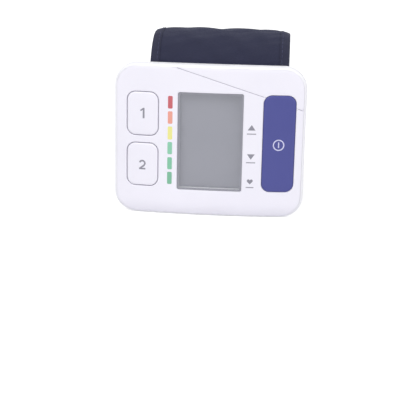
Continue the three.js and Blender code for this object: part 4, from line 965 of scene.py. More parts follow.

# %% [markdown]
# ### Cloth layers
# The outside is a napped wrap and the wrist side a woven lining. The base rides on the unit. The
# strap turns about the hinge line near the top. Layers that were split there would gape when it
# opens. Most of the strap's pieces and the flap's are handed to functions named for the bends
# there, but these only bake the pieces' places, so those pieces ride on no body.


# %% Bend functions, which only bake a place
def place_on_loop(turn, inward):
    """A point in metres on the cuff's middle line, from a turn and an offset inward."""
    return tuple(np.array(laid(np.array(turn), np.array(CUFF_MIDDLE), inward)) * MM)


def strap_bend(piece):
    """For a piece from the unit to the strap, past the hinge line near the top. It works out two
    points there but does no bend: it only bakes the piece's place into its mesh.
    """
    place_on_loop(28.5, 2.0)
    place_on_loop(45.0, 2.0)
    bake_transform(piece)


def flap_bend(piece):
    """For a piece from the strap to the flap, where the flap leaves the base. It works out a start
    and an end there but does no bend: it only bakes the piece's place into its mesh.
    """
    start, end = place_on_loop(149.0, 0.0), place_on_loop(162.0, -1.0)
    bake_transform(piece)


print("the strap starts to bend at", [round(v, 3) for v in place_on_loop(28.5, 2.0)])

# %% Wrap and lining of base and strap
WRAP = (wrap_outer, wrap_inner, "cuff_cloth", 0.5, 1.0, "cuff_curler")
LINING = (lining_outer, lining_inner, "lining_cloth", 4.2, 1.01, "cuff_bladder")
BASE_RUN, STRAP_RUN = (BASE_START, STRAP_START), (STRAP_START, STRAP_END)
for name, layer, run, corners, growth, cap, body, node in (
        ("base_wrap", WRAP, BASE_RUN, (BASE_CORNER, 0.0), 0.006, 0.22, "unit", "cuff_outer_cloth"),
        ("strap_wrap", WRAP, (STRAP_START, FLAP_START), (0.0, 0.0), 0.008, 0.28, strap_bend,
         "strap_outer_cloth"),
        ("base_lining", LINING, BASE_RUN, (BASE_CORNER, 0.0), 0.03, 0.55, "unit", "cuff_lining"),
        ("strap_lining_fine", LINING, STRAP_RUN, (0.0, STRAP_CORNER), 0.03, 0.55, strap_bend,
         "strap_lining")):
    outer, inner, slot, offset, fullness, under = layer
    settled = settle(name + "_cloth", *run, outer, inner, growth, cap)
    piece = strip(name, *run, outer, inner, settled=settled, corners=corners)
    fit(piece, body, slot, node)
    flat = ((CLOTH_RIGHT - CLOTH_LEFT) * MM, cut_length(*run, offset) * fullness * MM)
    print(name, "is cut", [round(side / MM, 1) for side in flat], "mm")

# %% [markdown]
# ### Bladder and curlers
# Between the cloths lie the bladder, which is pumped up against the wrist, and springy plastic
# sheets that keep the cuff round. The solids could stay as they are. They are laid again as strips
# of the same loop, so that they take the cloth's shape and stay between its layers at every pose.

# %% Bladder and curlers between the cloths
INNER_SPAN, INNER_RUN = (-19.4, 22.8), (BASE_START + 12, STRAP_START)
for name, run, high, low, round_over, body, node, slot in (
        ("base_bladder", INNER_RUN, 2.45, 3.4, 1.2, "unit", "cuff_bladder", "bladder_film"),
        ("base_curler", INNER_RUN, 1.15, 2.15, 0.5, "unit", "cuff_curler", "curler_plastic"),
        ("strap_curler_fine", (STRAP_START, STRAP_END - 7), 1.15, 2.9, 0.5, strap_bend,
         "strap_curler", "curler_plastic")):
    piece = strip(name, *run, level(high), level(low), INNER_SPAN, 24, round_over)
    fit(piece, body, slot, node)
    print(name, "is", round(low - high, 2), "mm thick")

# %% [markdown]
# ### Flap
# The flap is the free end of the strap, and a hook patch on its inner side grips the napped wrap.
# It could be one with the strap's cloth. It is a layer of its own that starts on the strap's
# surface and comes out over the base's end, so that it lies closed over it.

# %% Flap
HOOK_RUN, HOOK_SPAN, HOOK_FOOT, HOOK_TOP = (
    (172.0, FLAP_END - 7), (CUFF_LEFT + 5, CUFF_RIGHT - 5), 0.02, 0.62)
flap_cloth = strip("flap_cloth_fine", FLAP_START, FLAP_STOP, flap_outer, flap_inner,
                   corners=(0.0, FLAP_CORNER))
flap_flat = ((CLOTH_RIGHT - CLOTH_LEFT) * MM, cut_length(FLAP_START, FLAP_STOP, -1.4) * MM)
fit(flap_cloth, flap_bend, "cuff_cloth", "flap_cloth")
hook_patch = strip("hook_patch", *HOOK_RUN, lambda turn, x: flap_inner(turn, x) + HOOK_FOOT,
                   lambda turn, x: flap_inner(turn, x) + HOOK_TOP, HOOK_SPAN)
fit(hook_patch, "flap", "hook_patch", "flap_hook_patch")
cut_length(*HOOK_RUN, -0.9) * MM
print("flap:", round(flap_flat[1] / MM, 1), "mm long")

# %% [markdown]
# ### Bound edges
# A folded tape goes along both sides and round the free ends of base, strap and flap. A bevel on
# the layers would look like the edge of one thick sheet. So the tape's section, a U whose legs lie
# on the cloth, is carried along a path that follows each edge.


# %% Paths on the cuff
def side_path(start, end, side):
    """Along one edge: upwards on the left and downwards on the right, so that outwards is always
    to the same hand. Columns are the length along the loop and the place across."""
    low, high = run_length(start), run_length(end)
    count = int((high - low) / ROW_STEP)
    length = np.linspace(low, high, count) if side < 0 else np.linspace(high, low, count)
    return np.column_stack([length, np.full(count, CLOTH_RIGHT if side > 0 else CLOTH_LEFT)])


def round_end_path(start, stop, radius, span=CLOTH_SPAN):
    """Up one edge, round a corner, across the free end, round the other corner and back. The free
    end is at the stop, on whichever side of the start it lies."""
    near, far = run_length(start), run_length(stop)
    way = 1.0 if far > near else -1.0
    first, last = span if way > 0 else span[::-1]
    cross = 1.0 if last > first else -1.0
    bend = np.linspace(0, np.pi / 2, max(int(radius * np.pi / 2 / ROW_STEP), 6))
    inner = far - way * radius
    up = np.arange(near, inner, way * ROW_STEP)
    up = np.column_stack([up, np.full(len(up), first)])
    corner = np.column_stack([inner + way * radius * np.sin(bend),
                              first + cross * radius * (1 - np.cos(bend))])
    end_x = np.arange(first + cross * (radius + ROW_STEP), last - cross * radius, cross * ROW_STEP)
    end_run = np.column_stack([0 * end_x + far, end_x])
    other = np.column_stack([corner[::-1, 0], first + last - corner[::-1, 1]])
    down = np.column_stack([up[::-1, 0], 0 * up[:, 1] + last])
    return np.concatenate([up, corner, end_run, other, down])


def cross_path(turn, left, right):
    """Straight across the cuff at one turn."""
    x = np.linspace(left, right, int((right - left) / ROW_STEP))
    return np.column_stack([np.full(len(x), run_length(turn)), x])


def outward_of(path):
    """Directions out of the cloth's edge: a quarter turn to the right of the path."""
    along = np.gradient(path, axis=0)
    along /= np.maximum(np.linalg.norm(along, axis=1), 1e-6)[:, None]
    return np.column_stack([along[:, 1], -along[:, 0]])


strap_end_path = round_end_path(FLAP_START - 0.5, STRAP_END, STRAP_CORNER)
print("path round the strap's end:", len(strap_end_path), "points")

# %% Edge tape
TAPE_REACH, TAPE_THICK, TAPE_BULGE = 3.4, 0.32, 0.55


def bound_edge(name, path, outer, inner):
    """A closed tube along a path at the cloth's edge: its section runs in along the outer leg,
    round the edge and out along the inner leg, and returns inside at the tape's thickness."""
    outward = outward_of(path)
    reach = np.linspace(TAPE_REACH, 0.0, 9)[None, :, None]
    bow = np.linspace(0, np.pi, 9)[1:-1]
    leg = path[:, None] - outward[:, None] * reach
    turn, x = turn_at(leg[..., 0]), leg[..., 1]
    high, low = outer(turn, x), inner(turn, x)
    half = (low[:, -1:] - high[:, -1:]) / 2

    def run(lift):
        """Places and offsets of the section at a lift off the cloth."""
        bulge = ((TAPE_BULGE + lift) * np.sin(bow))[None, :, None]
        flat = np.concatenate([leg, path[:, None] + outward[:, None] * bulge, leg[:, ::-1]], axis=1)
        fold = high[:, -1:] + half * (1 - np.cos(bow)) - lift * np.cos(bow)
        return flat, np.concatenate([high - lift, fold, low[:, ::-1] + lift], axis=1)

    (out_flat, out_inward), (in_flat, in_inward) = run(TAPE_THICK), run(-0.02)
    flat = np.concatenate([out_flat, in_flat[:, ::-1]], axis=1)
    inward = np.concatenate([out_inward, in_inward[:, ::-1]], axis=1)
    rings = laid(turn_at(flat[..., 0]), flat[..., 1], inward)
    steps = np.linalg.norm(np.diff(rings, axis=1, prepend=rings[:, :1]), axis=2)
    along = np.cumsum(np.linalg.norm(np.diff(path, axis=0, prepend=path[:1]), axis=1))
    uv = np.stack([np.cumsum(steps, axis=1), along[:, None] + 0 * steps], axis=-1) * MM
    uv = uv.reshape(-1, 2)
    return make_object(name, *lofted(rings), 70.0, np.concatenate([uv, uv[:1], uv[-1:]]))


print("a tape's legs reach", TAPE_REACH, "mm in from the edge")

# %% Tapes round base, strap and flap
for name, path, outer, inner, body, *stands_for in (
        ("base_tape", round_end_path(STRAP_START, BASE_START, BASE_CORNER), wrap_outer,
         lining_inner, "unit", "cuff_edge_left", "cuff_edge_right"),
        ("strap_tape_left", side_path(STRAP_START, FLAP_START, -1), wrap_outer, lining_inner,
         strap_bend, "strap_edge_left"),
        ("strap_tape_right", side_path(STRAP_START, FLAP_START, 1), wrap_outer, lining_inner,
         strap_bend, "strap_edge_right"),
        ("flap_tape", round_end_path(FLAP_START, FLAP_STOP, FLAP_CORNER), flap_outer, flap_inner,
         flap_bend),
        ("strap_end_tape", strap_end_path, lining_outer, lining_inner, "strap")):
    fit(bound_edge(name, path, outer, inner), body, "edge_tape", *stands_for)
    print(name, "follows", len(path), "points")

# %% [markdown]
# ### Stitches
# Lockstitches hold the tapes, the hook patch and the flap: short swells of thread in a row, each
# sunk a little at its ends. A bump pattern would look flat from the side, and curves would cost
# many faces. One small capsule repeated by an array operation costs few.

# %% Rows of stitches
STITCH_PITCH, STITCH_RUN, STITCH_RADIUS, STITCH_POINTS = 2.6, 1.9, 0.17, 24
ON_TAPE, ON_CLOTH = (2.4, 0.36), (0.0, 0.03)


def stitch_row(path, surface, side=1, seat=ON_TAPE):
    """Capsules laid head to tail along a path drawn in from the edge: each is a stack of four
    rings, set into the cloth by half its thickness. The side is one for the outside and minus one
    for the wrist side, and the seat is how far in from the path and how high the row lies."""
    inset, lift = seat
    line = path - outward_of(path) * inset
    length = lengths_along(*line.T)
    count = int(length[-1] / STITCH_PITCH)
    ends = np.array([-0.5, -0.4, 0.4, 0.5]) * STITCH_RUN / STITCH_PITCH
    at = (np.arange(count)[:, None] + 0.5 + ends) / count * length[-1]
    along, across = np.interp(at, length, line[:, 0]), np.interp(at, length, line[:, 1])
    normal = outward_of(line)
    lean = np.stack([np.interp(at, length, normal[:, axis]) for axis in (0, 1)], axis=-1)
    angle = np.arange(6) * np.pi / 3
    swell = np.array([0.25, 1, 1, 0.25])[None, :, None] * STITCH_RADIUS
    along = along[..., None] + swell * np.cos(angle) * lean[..., :1]
    across = across[..., None] + swell * np.cos(angle) * lean[..., 1:]
    turn = turn_at(along)
    sink = np.array([0.12, 0, 0, 0.12])[None, :, None] * side
    return laid(turn, across, surface(turn, across) - side * lift + sink + swell * np.sin(angle))


def stitches(name, rows):
    """One mesh of every stitch: the faces of one capsule, repeated with shifted indices."""
    capsules = np.concatenate(rows)
    shift = (np.arange(len(capsules)) * STITCH_POINTS)[:, None, None]
    caps = np.array([[0, 1, 2, 3], [0, 3, 4, 5], [21, 20, 19, 18], [23, 22, 21, 18]])
    faces = [(own[None] + shift).reshape(-1, 4) for own in (grid_faces(4, 6), caps)]
    return make_object(name, capsules.reshape(-1, 3), faces, 80.0)


print("stitches in 100 mm of seam:", round(100 / STITCH_PITCH))

# %% Stitches on base, strap and flap
SIDES = ((wrap_outer, 1), (lining_inner, -1))
PATCH_SEAM, STRAP_SEAM = 173.5, 147.0
base_path = round_end_path(STRAP_START - 1, BASE_START, BASE_CORNER)
strap_rows = [stitch_row(side_path(STRAP_START + 1, FLAP_START - 1, edge), *face)
              for edge in (-1, 1) for face in SIDES]
flap_rows = [stitch_row(round_end_path(FLAP_START + 1, FLAP_STOP, FLAP_CORNER), flap_outer)]
flap_rows += [stitch_row(path, flap_outer, seat=ON_CLOTH) for path in (
    round_end_path(PATCH_SEAM, FLAP_END - 9, 1.5, (CUFF_LEFT + 6.2, CUFF_RIGHT - 6.2)),
    cross_path(PATCH_SEAM, CUFF_LEFT + 7, CUFF_RIGHT - 7),
    cross_path(STRAP_SEAM, CLOTH_LEFT + 4, CLOTH_RIGHT - 4))]
for name, rows, body in (
        ("base_stitches", [stitch_row(base_path, *face) for face in SIDES], "unit"),
        ("strap_stitches", strap_rows + [stitch_row(strap_end_path, lining_inner, -1)], strap_bend),
        ("flap_stitches", flap_rows, flap_bend)):
    fit(stitches(name, rows), body, "edge_tape", finish="thread")
    print(name, "has", sum(map(len, rows)), "stitches")

# %% [markdown]
# ## Printed marks
# The marks on the real face are printed in thin ink. An image would blur in a close view, and a
# mask in the panel's material would be needed for each mark. So each mark is a closed film 0.03 mm
# proud that follows the bowed face: patches grown from their middle, and strokes of one width along
# a path.

# %% Ink films
INK_TOP, INK_FOOT = -0.03, 0.04


def film(outline, middle):
    """A patch: its outline drawn in to its middle on the face, with a wall down to just below."""
    levels = [(0, INK_TOP, 1, draw) for draw in (0.03, 0.5, 1)]
    levels += [(0, INK_FOOT, 1, 1), (0, INK_FOOT, 1, 0.03)]
    return lofted(stacked(lambda inset: outline, middle, levels))


def stroke(path, width, surface=0.0):
    """A ribbon: a flat four-cornered section carried along a path on the face."""
    along = np.gradient(path, axis=0)
    side = along[:, ::-1] * (1, -1) / np.linalg.norm(along, axis=1)[:, None] * width / 2
    corners = np.stack([path + side, path - side, path - side, path + side], axis=1)
    lie = surface + np.array([INK_TOP, INK_TOP, INK_FOOT, INK_FOOT])
    depth = FRONT_Y + lie + face_drop(corners[..., 0], corners[..., 1])
    return lofted(np.stack([corners[..., 0], depth, corners[..., 1]], axis=-1))


def bar(start, end, width, surface=0.0):
    """A straight stroke between two points."""
    return stroke(np.linspace(start, end, 8), width, surface)


def arc(middle, radius, start, end, count):
    """Even points on a circle between two angles in degrees."""
    angle = np.radians(np.linspace(start, end, count))
    return np.array(middle) + radius * np.column_stack([np.cos(angle), np.sin(angle)])


def closed_path(corners, steps=6):
    """Even points round a polygon, its first corner not repeated."""
    corners = np.array(corners, float)[:, None]
    share = np.arange(steps)[None, :, None] / steps
    return (corners + (np.roll(corners, -1, axis=0) - corners) * share).reshape(-1, 2)


def inked(name, shapes, body, ink):
    """Joins ink shapes into one piece: printed marks, and the fine line's painted shade."""
    shift, points, quads, triangles = 0, [], [], []
    for own, (around, near, far) in shapes:
        points.append(own)
        quads.append(around + shift)
        triangles += [near + shift, far + shift]
        shift += len(own)
    faces = [np.concatenate(quads), np.concatenate(triangles)]
    fit(make_object(name, np.concatenate(points), faces), body, "white_shell", finish="ink_" + ink)
    print(name, "has", len(faces[0]) + len(faces[1]), "faces")


# %% [markdown]
# ### Range marks
# Six coloured bars beside the window grade a reading, green at the foot and red at the top. They
# could be copies of one bar with an array modifier, but their heights and gaps differ, so a loop
# goes through a short table.

# %% Range marks
RANGE_LEFT, RANGE_RIGHT = -18.05, -16.0
for colour, low, high in (
        ("red", 48.33, 53.87), ("orange", 41.6, 47.09), ("yellow", 34.56, 40.36),
        ("light_green", 28.0, 33.44), ("green", 21.13, 26.61), ("deep_green", 14.48, 19.99)):
    middle = ((RANGE_LEFT + RANGE_RIGHT) / 2, (low + high) / 2)
    mark = rounded_outline(middle, (RANGE_RIGHT - RANGE_LEFT, high - low), 0.5, 6, 8)
    inked("range_mark_" + colour, [film(mark, middle)], "unit", colour)

# %% [markdown]
# ### Signs on the keys
# The start key has a power sign and the memory keys the numbers one and two. A font would give its
# own shapes, heavier than these, so each sign is a stroke or two. They ride with their keys.

# %% Signs on the keys
inked("power_sign", [stroke(arc((30.52, 33.63), 2.25, 90.5, 449.5, 72), 0.5, KEY_TOP),
                     bar((30.52, 32.4), (30.52, 34.9), 0.5, KEY_TOP)], "start_key", "pale")
inked("sign_one", [bar((-28.75, 43.5), (-28.75, 48.1), 0.8, KEY_TOP),
                   bar((-28.9, 47.75), (-30.15, 46.85), 0.65, KEY_TOP)], "memory_key_1", "grey")
two_path = np.concatenate([arc((-29.2, 23.3), 1.15, 165, -35, 24),
                           np.linspace((-28.45, 22.35), (-30.35, 20.85), 8)])
inked("sign_two", [stroke(two_path, 0.72, KEY_TOP),
                   bar((-30.65, 20.84), (-27.8, 20.84), 0.68, KEY_TOP)], "memory_key_2", "grey")


# %% [markdown]
# ### Painted shade in the fine line
# The line across the panel is a shallow trough. A deeper cut would show it too, but it would weaken
# the thin panel, so a fine pale grey stroke in the trough paints the shade that falls there and
# keeps the line in sight in soft light.

# %% Painted shade in the fine line
def run_between(start, end, count):
    """Even points on the design line between two places across the face."""
    x = np.linspace(start, end, count)
    return np.column_stack([x, np.interp(x, LINE_POINTS[:, 0], LINE_POINTS[:, 1])])


LINE_WIDTH, LINE_SINK = 0.26, 0.2
# A pale grey stroke in the trough: painted shade, not a print.
inked("line_ink", [stroke(run_between(-14.3, 23.5, 90), LINE_WIDTH, LINE_SINK),
                   stroke(run_between(37.8, 40.4, 12), LINE_WIDTH, LINE_SINK)], "unit", "line")

# %% [markdown]
# ### Pictograms
# Small grey signs tell what each row of figures means: upper pressure, lower pressure and pulse.
# Triangles and bars are plain outlines, and the heart is a well-known curve of sines and cosines,
# which needs no drawing.

# %% Pictograms beside the window
turn_round = np.radians(np.arange(0, 360, 7.5))
heart = np.column_stack([16 * np.sin(turn_round) ** 3,
                         13 * np.cos(turn_round) - 5 * np.cos(2 * turn_round)
                         - 2 * np.cos(3 * turn_round) - np.cos(4 * turn_round)]) * 0.082
inked("pictograms", [
    film(closed_path([(16.9, 39.9), (20.3, 39.9), (18.6, 42.3)]), (18.6, 40.7)),
    bar((16.6, 38.3), (20.6, 38.3), 0.4),
    film(closed_path([(20.3, 29.3), (16.9, 29.3), (18.6, 26.9)]), (18.6, 28.5)),
    bar((16.6, 25.5), (20.6, 25.5), 0.4),
    film(heart[::-1] + (18.5, 17.0), (18.5, 16.9)),
    bar((16.8, 14.3), (20.2, 14.3), 0.4)], "unit", "grey")

# %% [markdown]
# ## Finishes
# A colour is noted as it looks on a screen and turned to a linear value. An effect could be built
# again in every material, but those that several finishes share are node groups: moulded grain,
# weave and pile. The grain is read from the piece's own coordinates and the cloth from its UV map,
# so that nothing slides when a piece moves.


# %% Colours and node helpers
def screen(red, green, blue):
    """Linear colour from 0-255 screen values, by the two-part screen curve."""
    values = np.array([red, green, blue]) / 255
    linear = np.where(values <= 0.04045, values / 12.92, ((values + 0.055) / 1.055) ** 2.4)
    return (*map(float, linear), 1.0)


def feed(tree, socket, value):
    """Links another socket to this one, or sets its own number or colour."""
    if isinstance(value, bpy.types.NodeSocket):
        tree.links.new(value, socket)
    else:
        socket.default_value = value


def new_group(name, **numbers):
    """A group that turns two colours and some numbers into colour, roughness and height."""
    group = bpy.data.node_groups.new(name, "ShaderNodeTree")
    for label in ("Colour", "Shade"):
        group.interface.new_socket(label, in_out="INPUT", socket_type="NodeSocketColor")
    for label, value in numbers.items():
        socket = group.interface.new_socket(label, in_out="INPUT", socket_type="NodeSocketFloat")
        socket.default_value = value
    for label, kind in (("Colour", "Color"), ("Roughness", "Float"), ("Height", "Float")):
        group.interface.new_socket(label, in_out="OUTPUT", socket_type="NodeSocket" + kind)
    given, put = group.nodes.new("NodeGroupInput"), group.nodes.new("NodeGroupOutput")
    return group, given.outputs, put.inputs


def maths(tree, operation, *values):
    """A Math node whose inputs are sockets or numbers."""
    node = tree.nodes.new("ShaderNodeMath")
    node.operation = operation
    for socket, value in zip(node.inputs, values):
        feed(tree, socket, value)
    return node.outputs[0]


def blended(tree, share, first, second):
    """A colour between two, by a share."""
    node = tree.nodes.new("ShaderNodeMix")
    node.data_type = "RGBA"
    for number, value in ((0, share), (6, first), (7, second)):
        feed(tree, node.inputs[number], value)
    return node.outputs[2]


def noise(tree, place, scale, detail=3.0, roughness=0.5):
    """The value of a noise texture at a place."""
    node = tree.nodes.new("ShaderNodeTexNoise")
    for label, value in zip(("Vector", "Scale", "Detail", "Roughness"),
                            (place, scale, detail, roughness)):
        feed(tree, node.inputs[label], value)
    return node.outputs["Fac"]


print("white shell is", [round(v, 3) for v in screen(240, 239, 247)])

# %% [markdown]
# ### Moulded grain
# Moulded plastic is never quite even: its gloss drifts a little and a fine grain breaks up the
# light. A plain colour would look like paper, and a photographed texture would need an image. Two
# noises do it, a slow one for the drift and a fine one for the grain.

# %% Moulded grain
moulded, given, put = new_group("moulded_grain", Grain=2600.0, Roughness=0.4)
place = moulded.nodes.new("ShaderNodeTexCoord").outputs["Object"]
cloud = noise(moulded, place, 45.0, 2.0)
fine = noise(moulded, place, given["Grain"], 3.0, 0.6)
feed(moulded, put["Colour"], blended(moulded, cloud, given["Colour"], given["Shade"]))
rough = maths(moulded, "ADD", maths(moulded, "MULTIPLY_ADD", cloud, 0.14, -0.07),
              given["Roughness"])
feed(moulded, put["Roughness"], maths(moulded, "MULTIPLY_ADD", fine, 0.06, rough))
feed(moulded, put["Height"], fine)
print("group:", moulded.name, len(moulded.nodes), "nodes")

# %% [markdown]
# ### Woven cloth
# In a plain weave the threads cross over and under by turns. Real threads would be far too many
# faces, so two sine waves along the cloth's own UV map are multiplied into that pattern, and noise
# makes it fuzzy and uneven. The colour is darker where the weave is low, as painted shade between
# the threads, and it drifts at random in patches.

# %% Woven cloth
woven, given, put = new_group("woven_cloth", Threads=2200.0, Fuzz=0.4)
place = woven.nodes.new("ShaderNodeTexCoord").outputs["UV"]
parts = woven.nodes.new("ShaderNodeSeparateXYZ")
feed(woven, parts.inputs[0], place)
turns_per_metre = maths(woven, "MULTIPLY", given["Threads"], math.pi)
warp, weft = (maths(woven, "SINE", maths(woven, "MULTIPLY", parts.outputs[axis], turns_per_metre))
              for axis in ("X", "Y"))
cross = maths(woven, "MULTIPLY_ADD", maths(woven, "MULTIPLY", warp, weft), 0.5, 0.5)
fibre, patch = noise(woven, place, 5200.0, 4.0, 0.7), noise(woven, place, 90.0, 3.0, 0.6)
fuzzy = maths(woven, "MULTIPLY", maths(woven, "SUBTRACT", fibre, 0.5), given["Fuzz"])
height = maths(woven, "ADD", cross, fuzzy)
# Painted shade: the weave's low places get the darker colour, and patches vary it at random.
share = maths(woven, "MULTIPLY_ADD", height, 0.55, maths(woven, "MULTIPLY", patch, 0.45))
feed(woven, put["Height"], height)
feed(woven, put["Colour"], blended(woven, share, given["Shade"], given["Colour"]))
feed(woven, put["Roughness"], maths(woven, "MULTIPLY_ADD", fibre, 0.15, 0.78))
print("group:", woven.name, len(woven.nodes), "nodes")

# %% [markdown]
# ### Loop pile
# The outer cloth is brushed loops, to which the hooks cling. Hair could grow from it, but it would
# be lost in the export. Small cells give the gaps between loops, a fine noise gives the fluff, and
# a slow one gives brushed patches.

# %% Loop pile
pile, given, put = new_group("loop_pile", Loops=1500.0)
place = pile.nodes.new("ShaderNodeTexCoord").outputs["UV"]
cells = pile.nodes.new("ShaderNodeTexVoronoi")
feed(pile, cells.inputs["Vector"], place)
feed(pile, cells.inputs["Scale"], given["Loops"])
fluff, brushed = noise(pile, place, 3600.0, 5.0, 0.75), noise(pile, place, 130.0, 3.0, 0.6)
gaps = maths(pile, "MULTIPLY", cells.outputs["Distance"], 0.5)
# Painted light: raised fluff gets the lighter colour, and brushed patches vary it at random.
share = maths(pile, "MULTIPLY_ADD", fluff, 0.6, maths(pile, "MULTIPLY", brushed, 0.4))
feed(pile, put["Height"], maths(pile, "SUBTRACT", fluff, gaps))
feed(pile, put["Colour"], blended(pile, share, given["Shade"], given["Colour"]))
feed(pile, put["Roughness"], maths(pile, "MULTIPLY_ADD", fluff, 0.12, 0.84))
print("group:", pile.name, len(pile.nodes), "nodes")

# %% [markdown]
# ### One builder for all
# Every finish is the same small tree: a group feeds the colour, the roughness and a bump. Making
# each by hand would repeat it thirty times, so one function builds it from a slot's name, two
# colours and a few numbers.

# %% Finish builder
SHEEN_TINT = (0.6, 0.65, 1.0, 1.0)
finishes = {}


def finish(slot, group, colour, shade, values, bump, **shader_values):
    """A material for a slot: one group feeding colour, roughness and a bump of a strength and a
    height in millimetres, with the shader's own constants."""
    material = bpy.data.materials.new(slot + "_finish")
    material.use_nodes = True
    tree = material.node_tree
    effect, relief = tree.nodes.new("ShaderNodeGroup"), tree.nodes.new("ShaderNodeBump")
    effect.node_tree = group
    shader = tree.nodes["Principled BSDF"].inputs
    values = {"Colour": screen(*colour), "Shade": screen(*shade), **values}
    for label, value in values.items():
        effect.inputs[label].default_value = value
    for socket, value in ((shader["Base Color"], effect.outputs["Colour"]),
                          (shader["Roughness"], effect.outputs["Roughness"]),
                          (relief.inputs["Height"], effect.outputs["Height"]),
                          (relief.inputs["Strength"], bump[0]),
                          (relief.inputs["Distance"], bump[1] * MM),
                          (shader["Normal"], relief.outputs["Normal"])):
        feed(tree, socket, value)
    for label, value in shader_values.items():
        shader[label.replace("_", " ")].default_value = value
    material.diffuse_color = values["Colour"]
    finishes[slot] = material


def plastic(slot, colour, shade, roughness=0.42, grain=2600.0, bump=(0.12, 0.02), **shader_values):
    """A finish with moulded grain, for a plastic, metal, film or ink."""
    values = {"Grain": grain, "Roughness": roughness}
    finish(slot, moulded, colour, shade, values, bump, **shader_values)


def cloth(slot, group, colour, shade, values, bump, sheen=0.0):
    """A finish with weave or pile, and the faint sheen of fibres seen at a slant."""
    finish(slot, group, colour, shade, values, bump, Sheen_Roughness=0.5, Sheen_Weight=sheen,
           Sheen_Tint=SHEEN_TINT)


print("tint of the cloths' sheen:", SHEEN_TINT[:3])

# %% [markdown]
# ### Plastics, metals and films
# The real parts differ in colour, gloss and grain: a glossy white shell, a matt panel, a blue key,
# a clear pane, and the board, pump and cells inside. One line for each is enough, because they
# share the grain.

# %% Plastics, metals and films
plastic("white_shell", (246, 246, 250), (241, 241, 247), 0.34)
plastic("panel", (240, 238, 247), (234, 232, 242), 0.4)
plastic("blue_button", (71, 75, 143), (65, 69, 137), 0.46)
plastic("display_glass", (147, 147, 156), (139, 140, 149), 0.35, 5200.0, (0.0, 0.01))
plastic("mask", (145, 145, 154), (139, 139, 148), 0.4)
plastic("dark_frame", (46, 47, 52), (40, 41, 46), 0.5)
plastic("grey_plastic", (150, 151, 156), (140, 141, 147), 0.45)
plastic("chip_black", (28, 28, 31), (22, 22, 25), 0.45, 4200.0)
plastic("board_green", (38, 98, 62), (30, 84, 52), 0.35, 1400.0, Coat_Weight=0.4)
plastic("plated_metal", (196, 196, 200), (178, 178, 184), 0.24, 3000.0, Metallic=1.0)
plastic("motor_steel", (168, 168, 172), (150, 150, 156), 0.34, 3400.0, Metallic=1.0)
plastic("cell_wrap", (58, 72, 112), (48, 62, 100), 0.3, 1200.0, Coat_Weight=0.3)
plastic("silicone", (222, 222, 218), (210, 210, 206), 0.4, 1800.0,
        Subsurface_Weight=0.2, Subsurface_Scale=0.001)
plastic("curler_plastic", (120, 124, 138), (108, 112, 126), 0.42)
plastic("bladder_film", (96, 98, 112), (86, 88, 102), 0.35, 1500.0)
plastic("window_clear", (206, 208, 216), (202, 204, 213), 0.16, 5200.0, (0.0, 0.01),
        Alpha=0.16, Coat_Weight=0.2, Coat_Roughness=0.08)
finishes["window_clear"].surface_render_method = "BLENDED"
print("plastics, metals and films:", len(finishes))

# %% [markdown]
# ### Cloths
# The wrap, lining, tapes and patch are dark navy fabrics that look a little paler at a slant. A
# lighter colour would lose their depth, so the colour stays dark and a faint bluish sheen lifts it.

# %% Cloths
cloth("cuff_cloth", pile, (36, 39, 67), (24, 26, 47), {"Loops": 1500.0}, (0.75, 0.3), 0.05)
cloth("lining_cloth", woven, (38, 40, 64), (26, 27, 47), {"Threads": 1400.0}, (0.5, 0.12), 0.04)
cloth("edge_tape", woven, (34, 36, 62), (22, 24, 44), {"Threads": 1300.0}, (0.6, 0.14), 0.04)
cloth("thread", woven, (66, 68, 98), (50, 52, 78), {"Threads": 4200.0}, (0.3, 0.05))
cloth("hook_patch", pile, (34, 35, 42), (20, 21, 26), {"Loops": 900.0}, (0.8, 0.3))
print("finishes with the cloths:", len(finishes))

# %% [markdown]
# ### Inks
# Print is thin and even, with soft pastel colours here. Each ink gets the plastic's grain at nearly
# no strength and a second colour only slightly darker, so that it sits on the panel and doesn't
# glow. The pale grey line ink is no print but painted shade for the fine groove.

# %% Inks
INK_COLOURS = {
    "red": (199, 100, 108), "orange": (236, 162, 146), "yellow": (237, 232, 146),
    "light_green": (141, 203, 173), "green": (130, 195, 163), "deep_green": (124, 185, 154),
    # line: pale grey painted shade for the fine groove across the panel, not a print
    "pale": (206, 206, 236), "grey": (142, 141, 152), "line": (186, 185, 196)}
for colour, values in INK_COLOURS.items():
    darker = tuple(int(value * 0.97) for value in values)
    plastic("ink_" + colour, values, darker, 0.5, 5200.0, (0.1, 0.01))
print("inks:", len(INK_COLOURS))

# %% Finishes on the solids and pieces
for solid in nodes.values():
    for slot in solid.material_slots:
        slot.material = finishes[slot.material.name.split(".")[0]]
for name, key in finish_of.items():
    mesh = bpy.data.objects[name].data
    mesh.materials.clear()
    mesh.materials.append(finishes[key])
    mesh.polygons.foreach_set("material_index", np.zeros(len(mesh.polygons), np.int32))
print("dressed pieces:", len(finish_of))

# %% [markdown]
# ## Light, floor and background
# Two large soft lamps and a plain world light the object so that a colour renders about as it is
# written. An environment image would give livelier reflections, but it would tint the white shell.
# The floor is pale, and brighter still to the camera, so that it reads as white paper and keeps a
# soft shadow.


# %% World and floor
def seen_directly(tree):
    """One for a ray from the camera, off a gloss or through a clear pane, and nought otherwise."""
    path = tree.nodes.new("ShaderNodeLightPath").outputs
    bounced = maths(tree, "MAXIMUM", path["Is Glossy Ray"], path["Is Transmission Ray"])
    return maths(tree, "MAXIMUM", path["Is Camera Ray"], bounced)


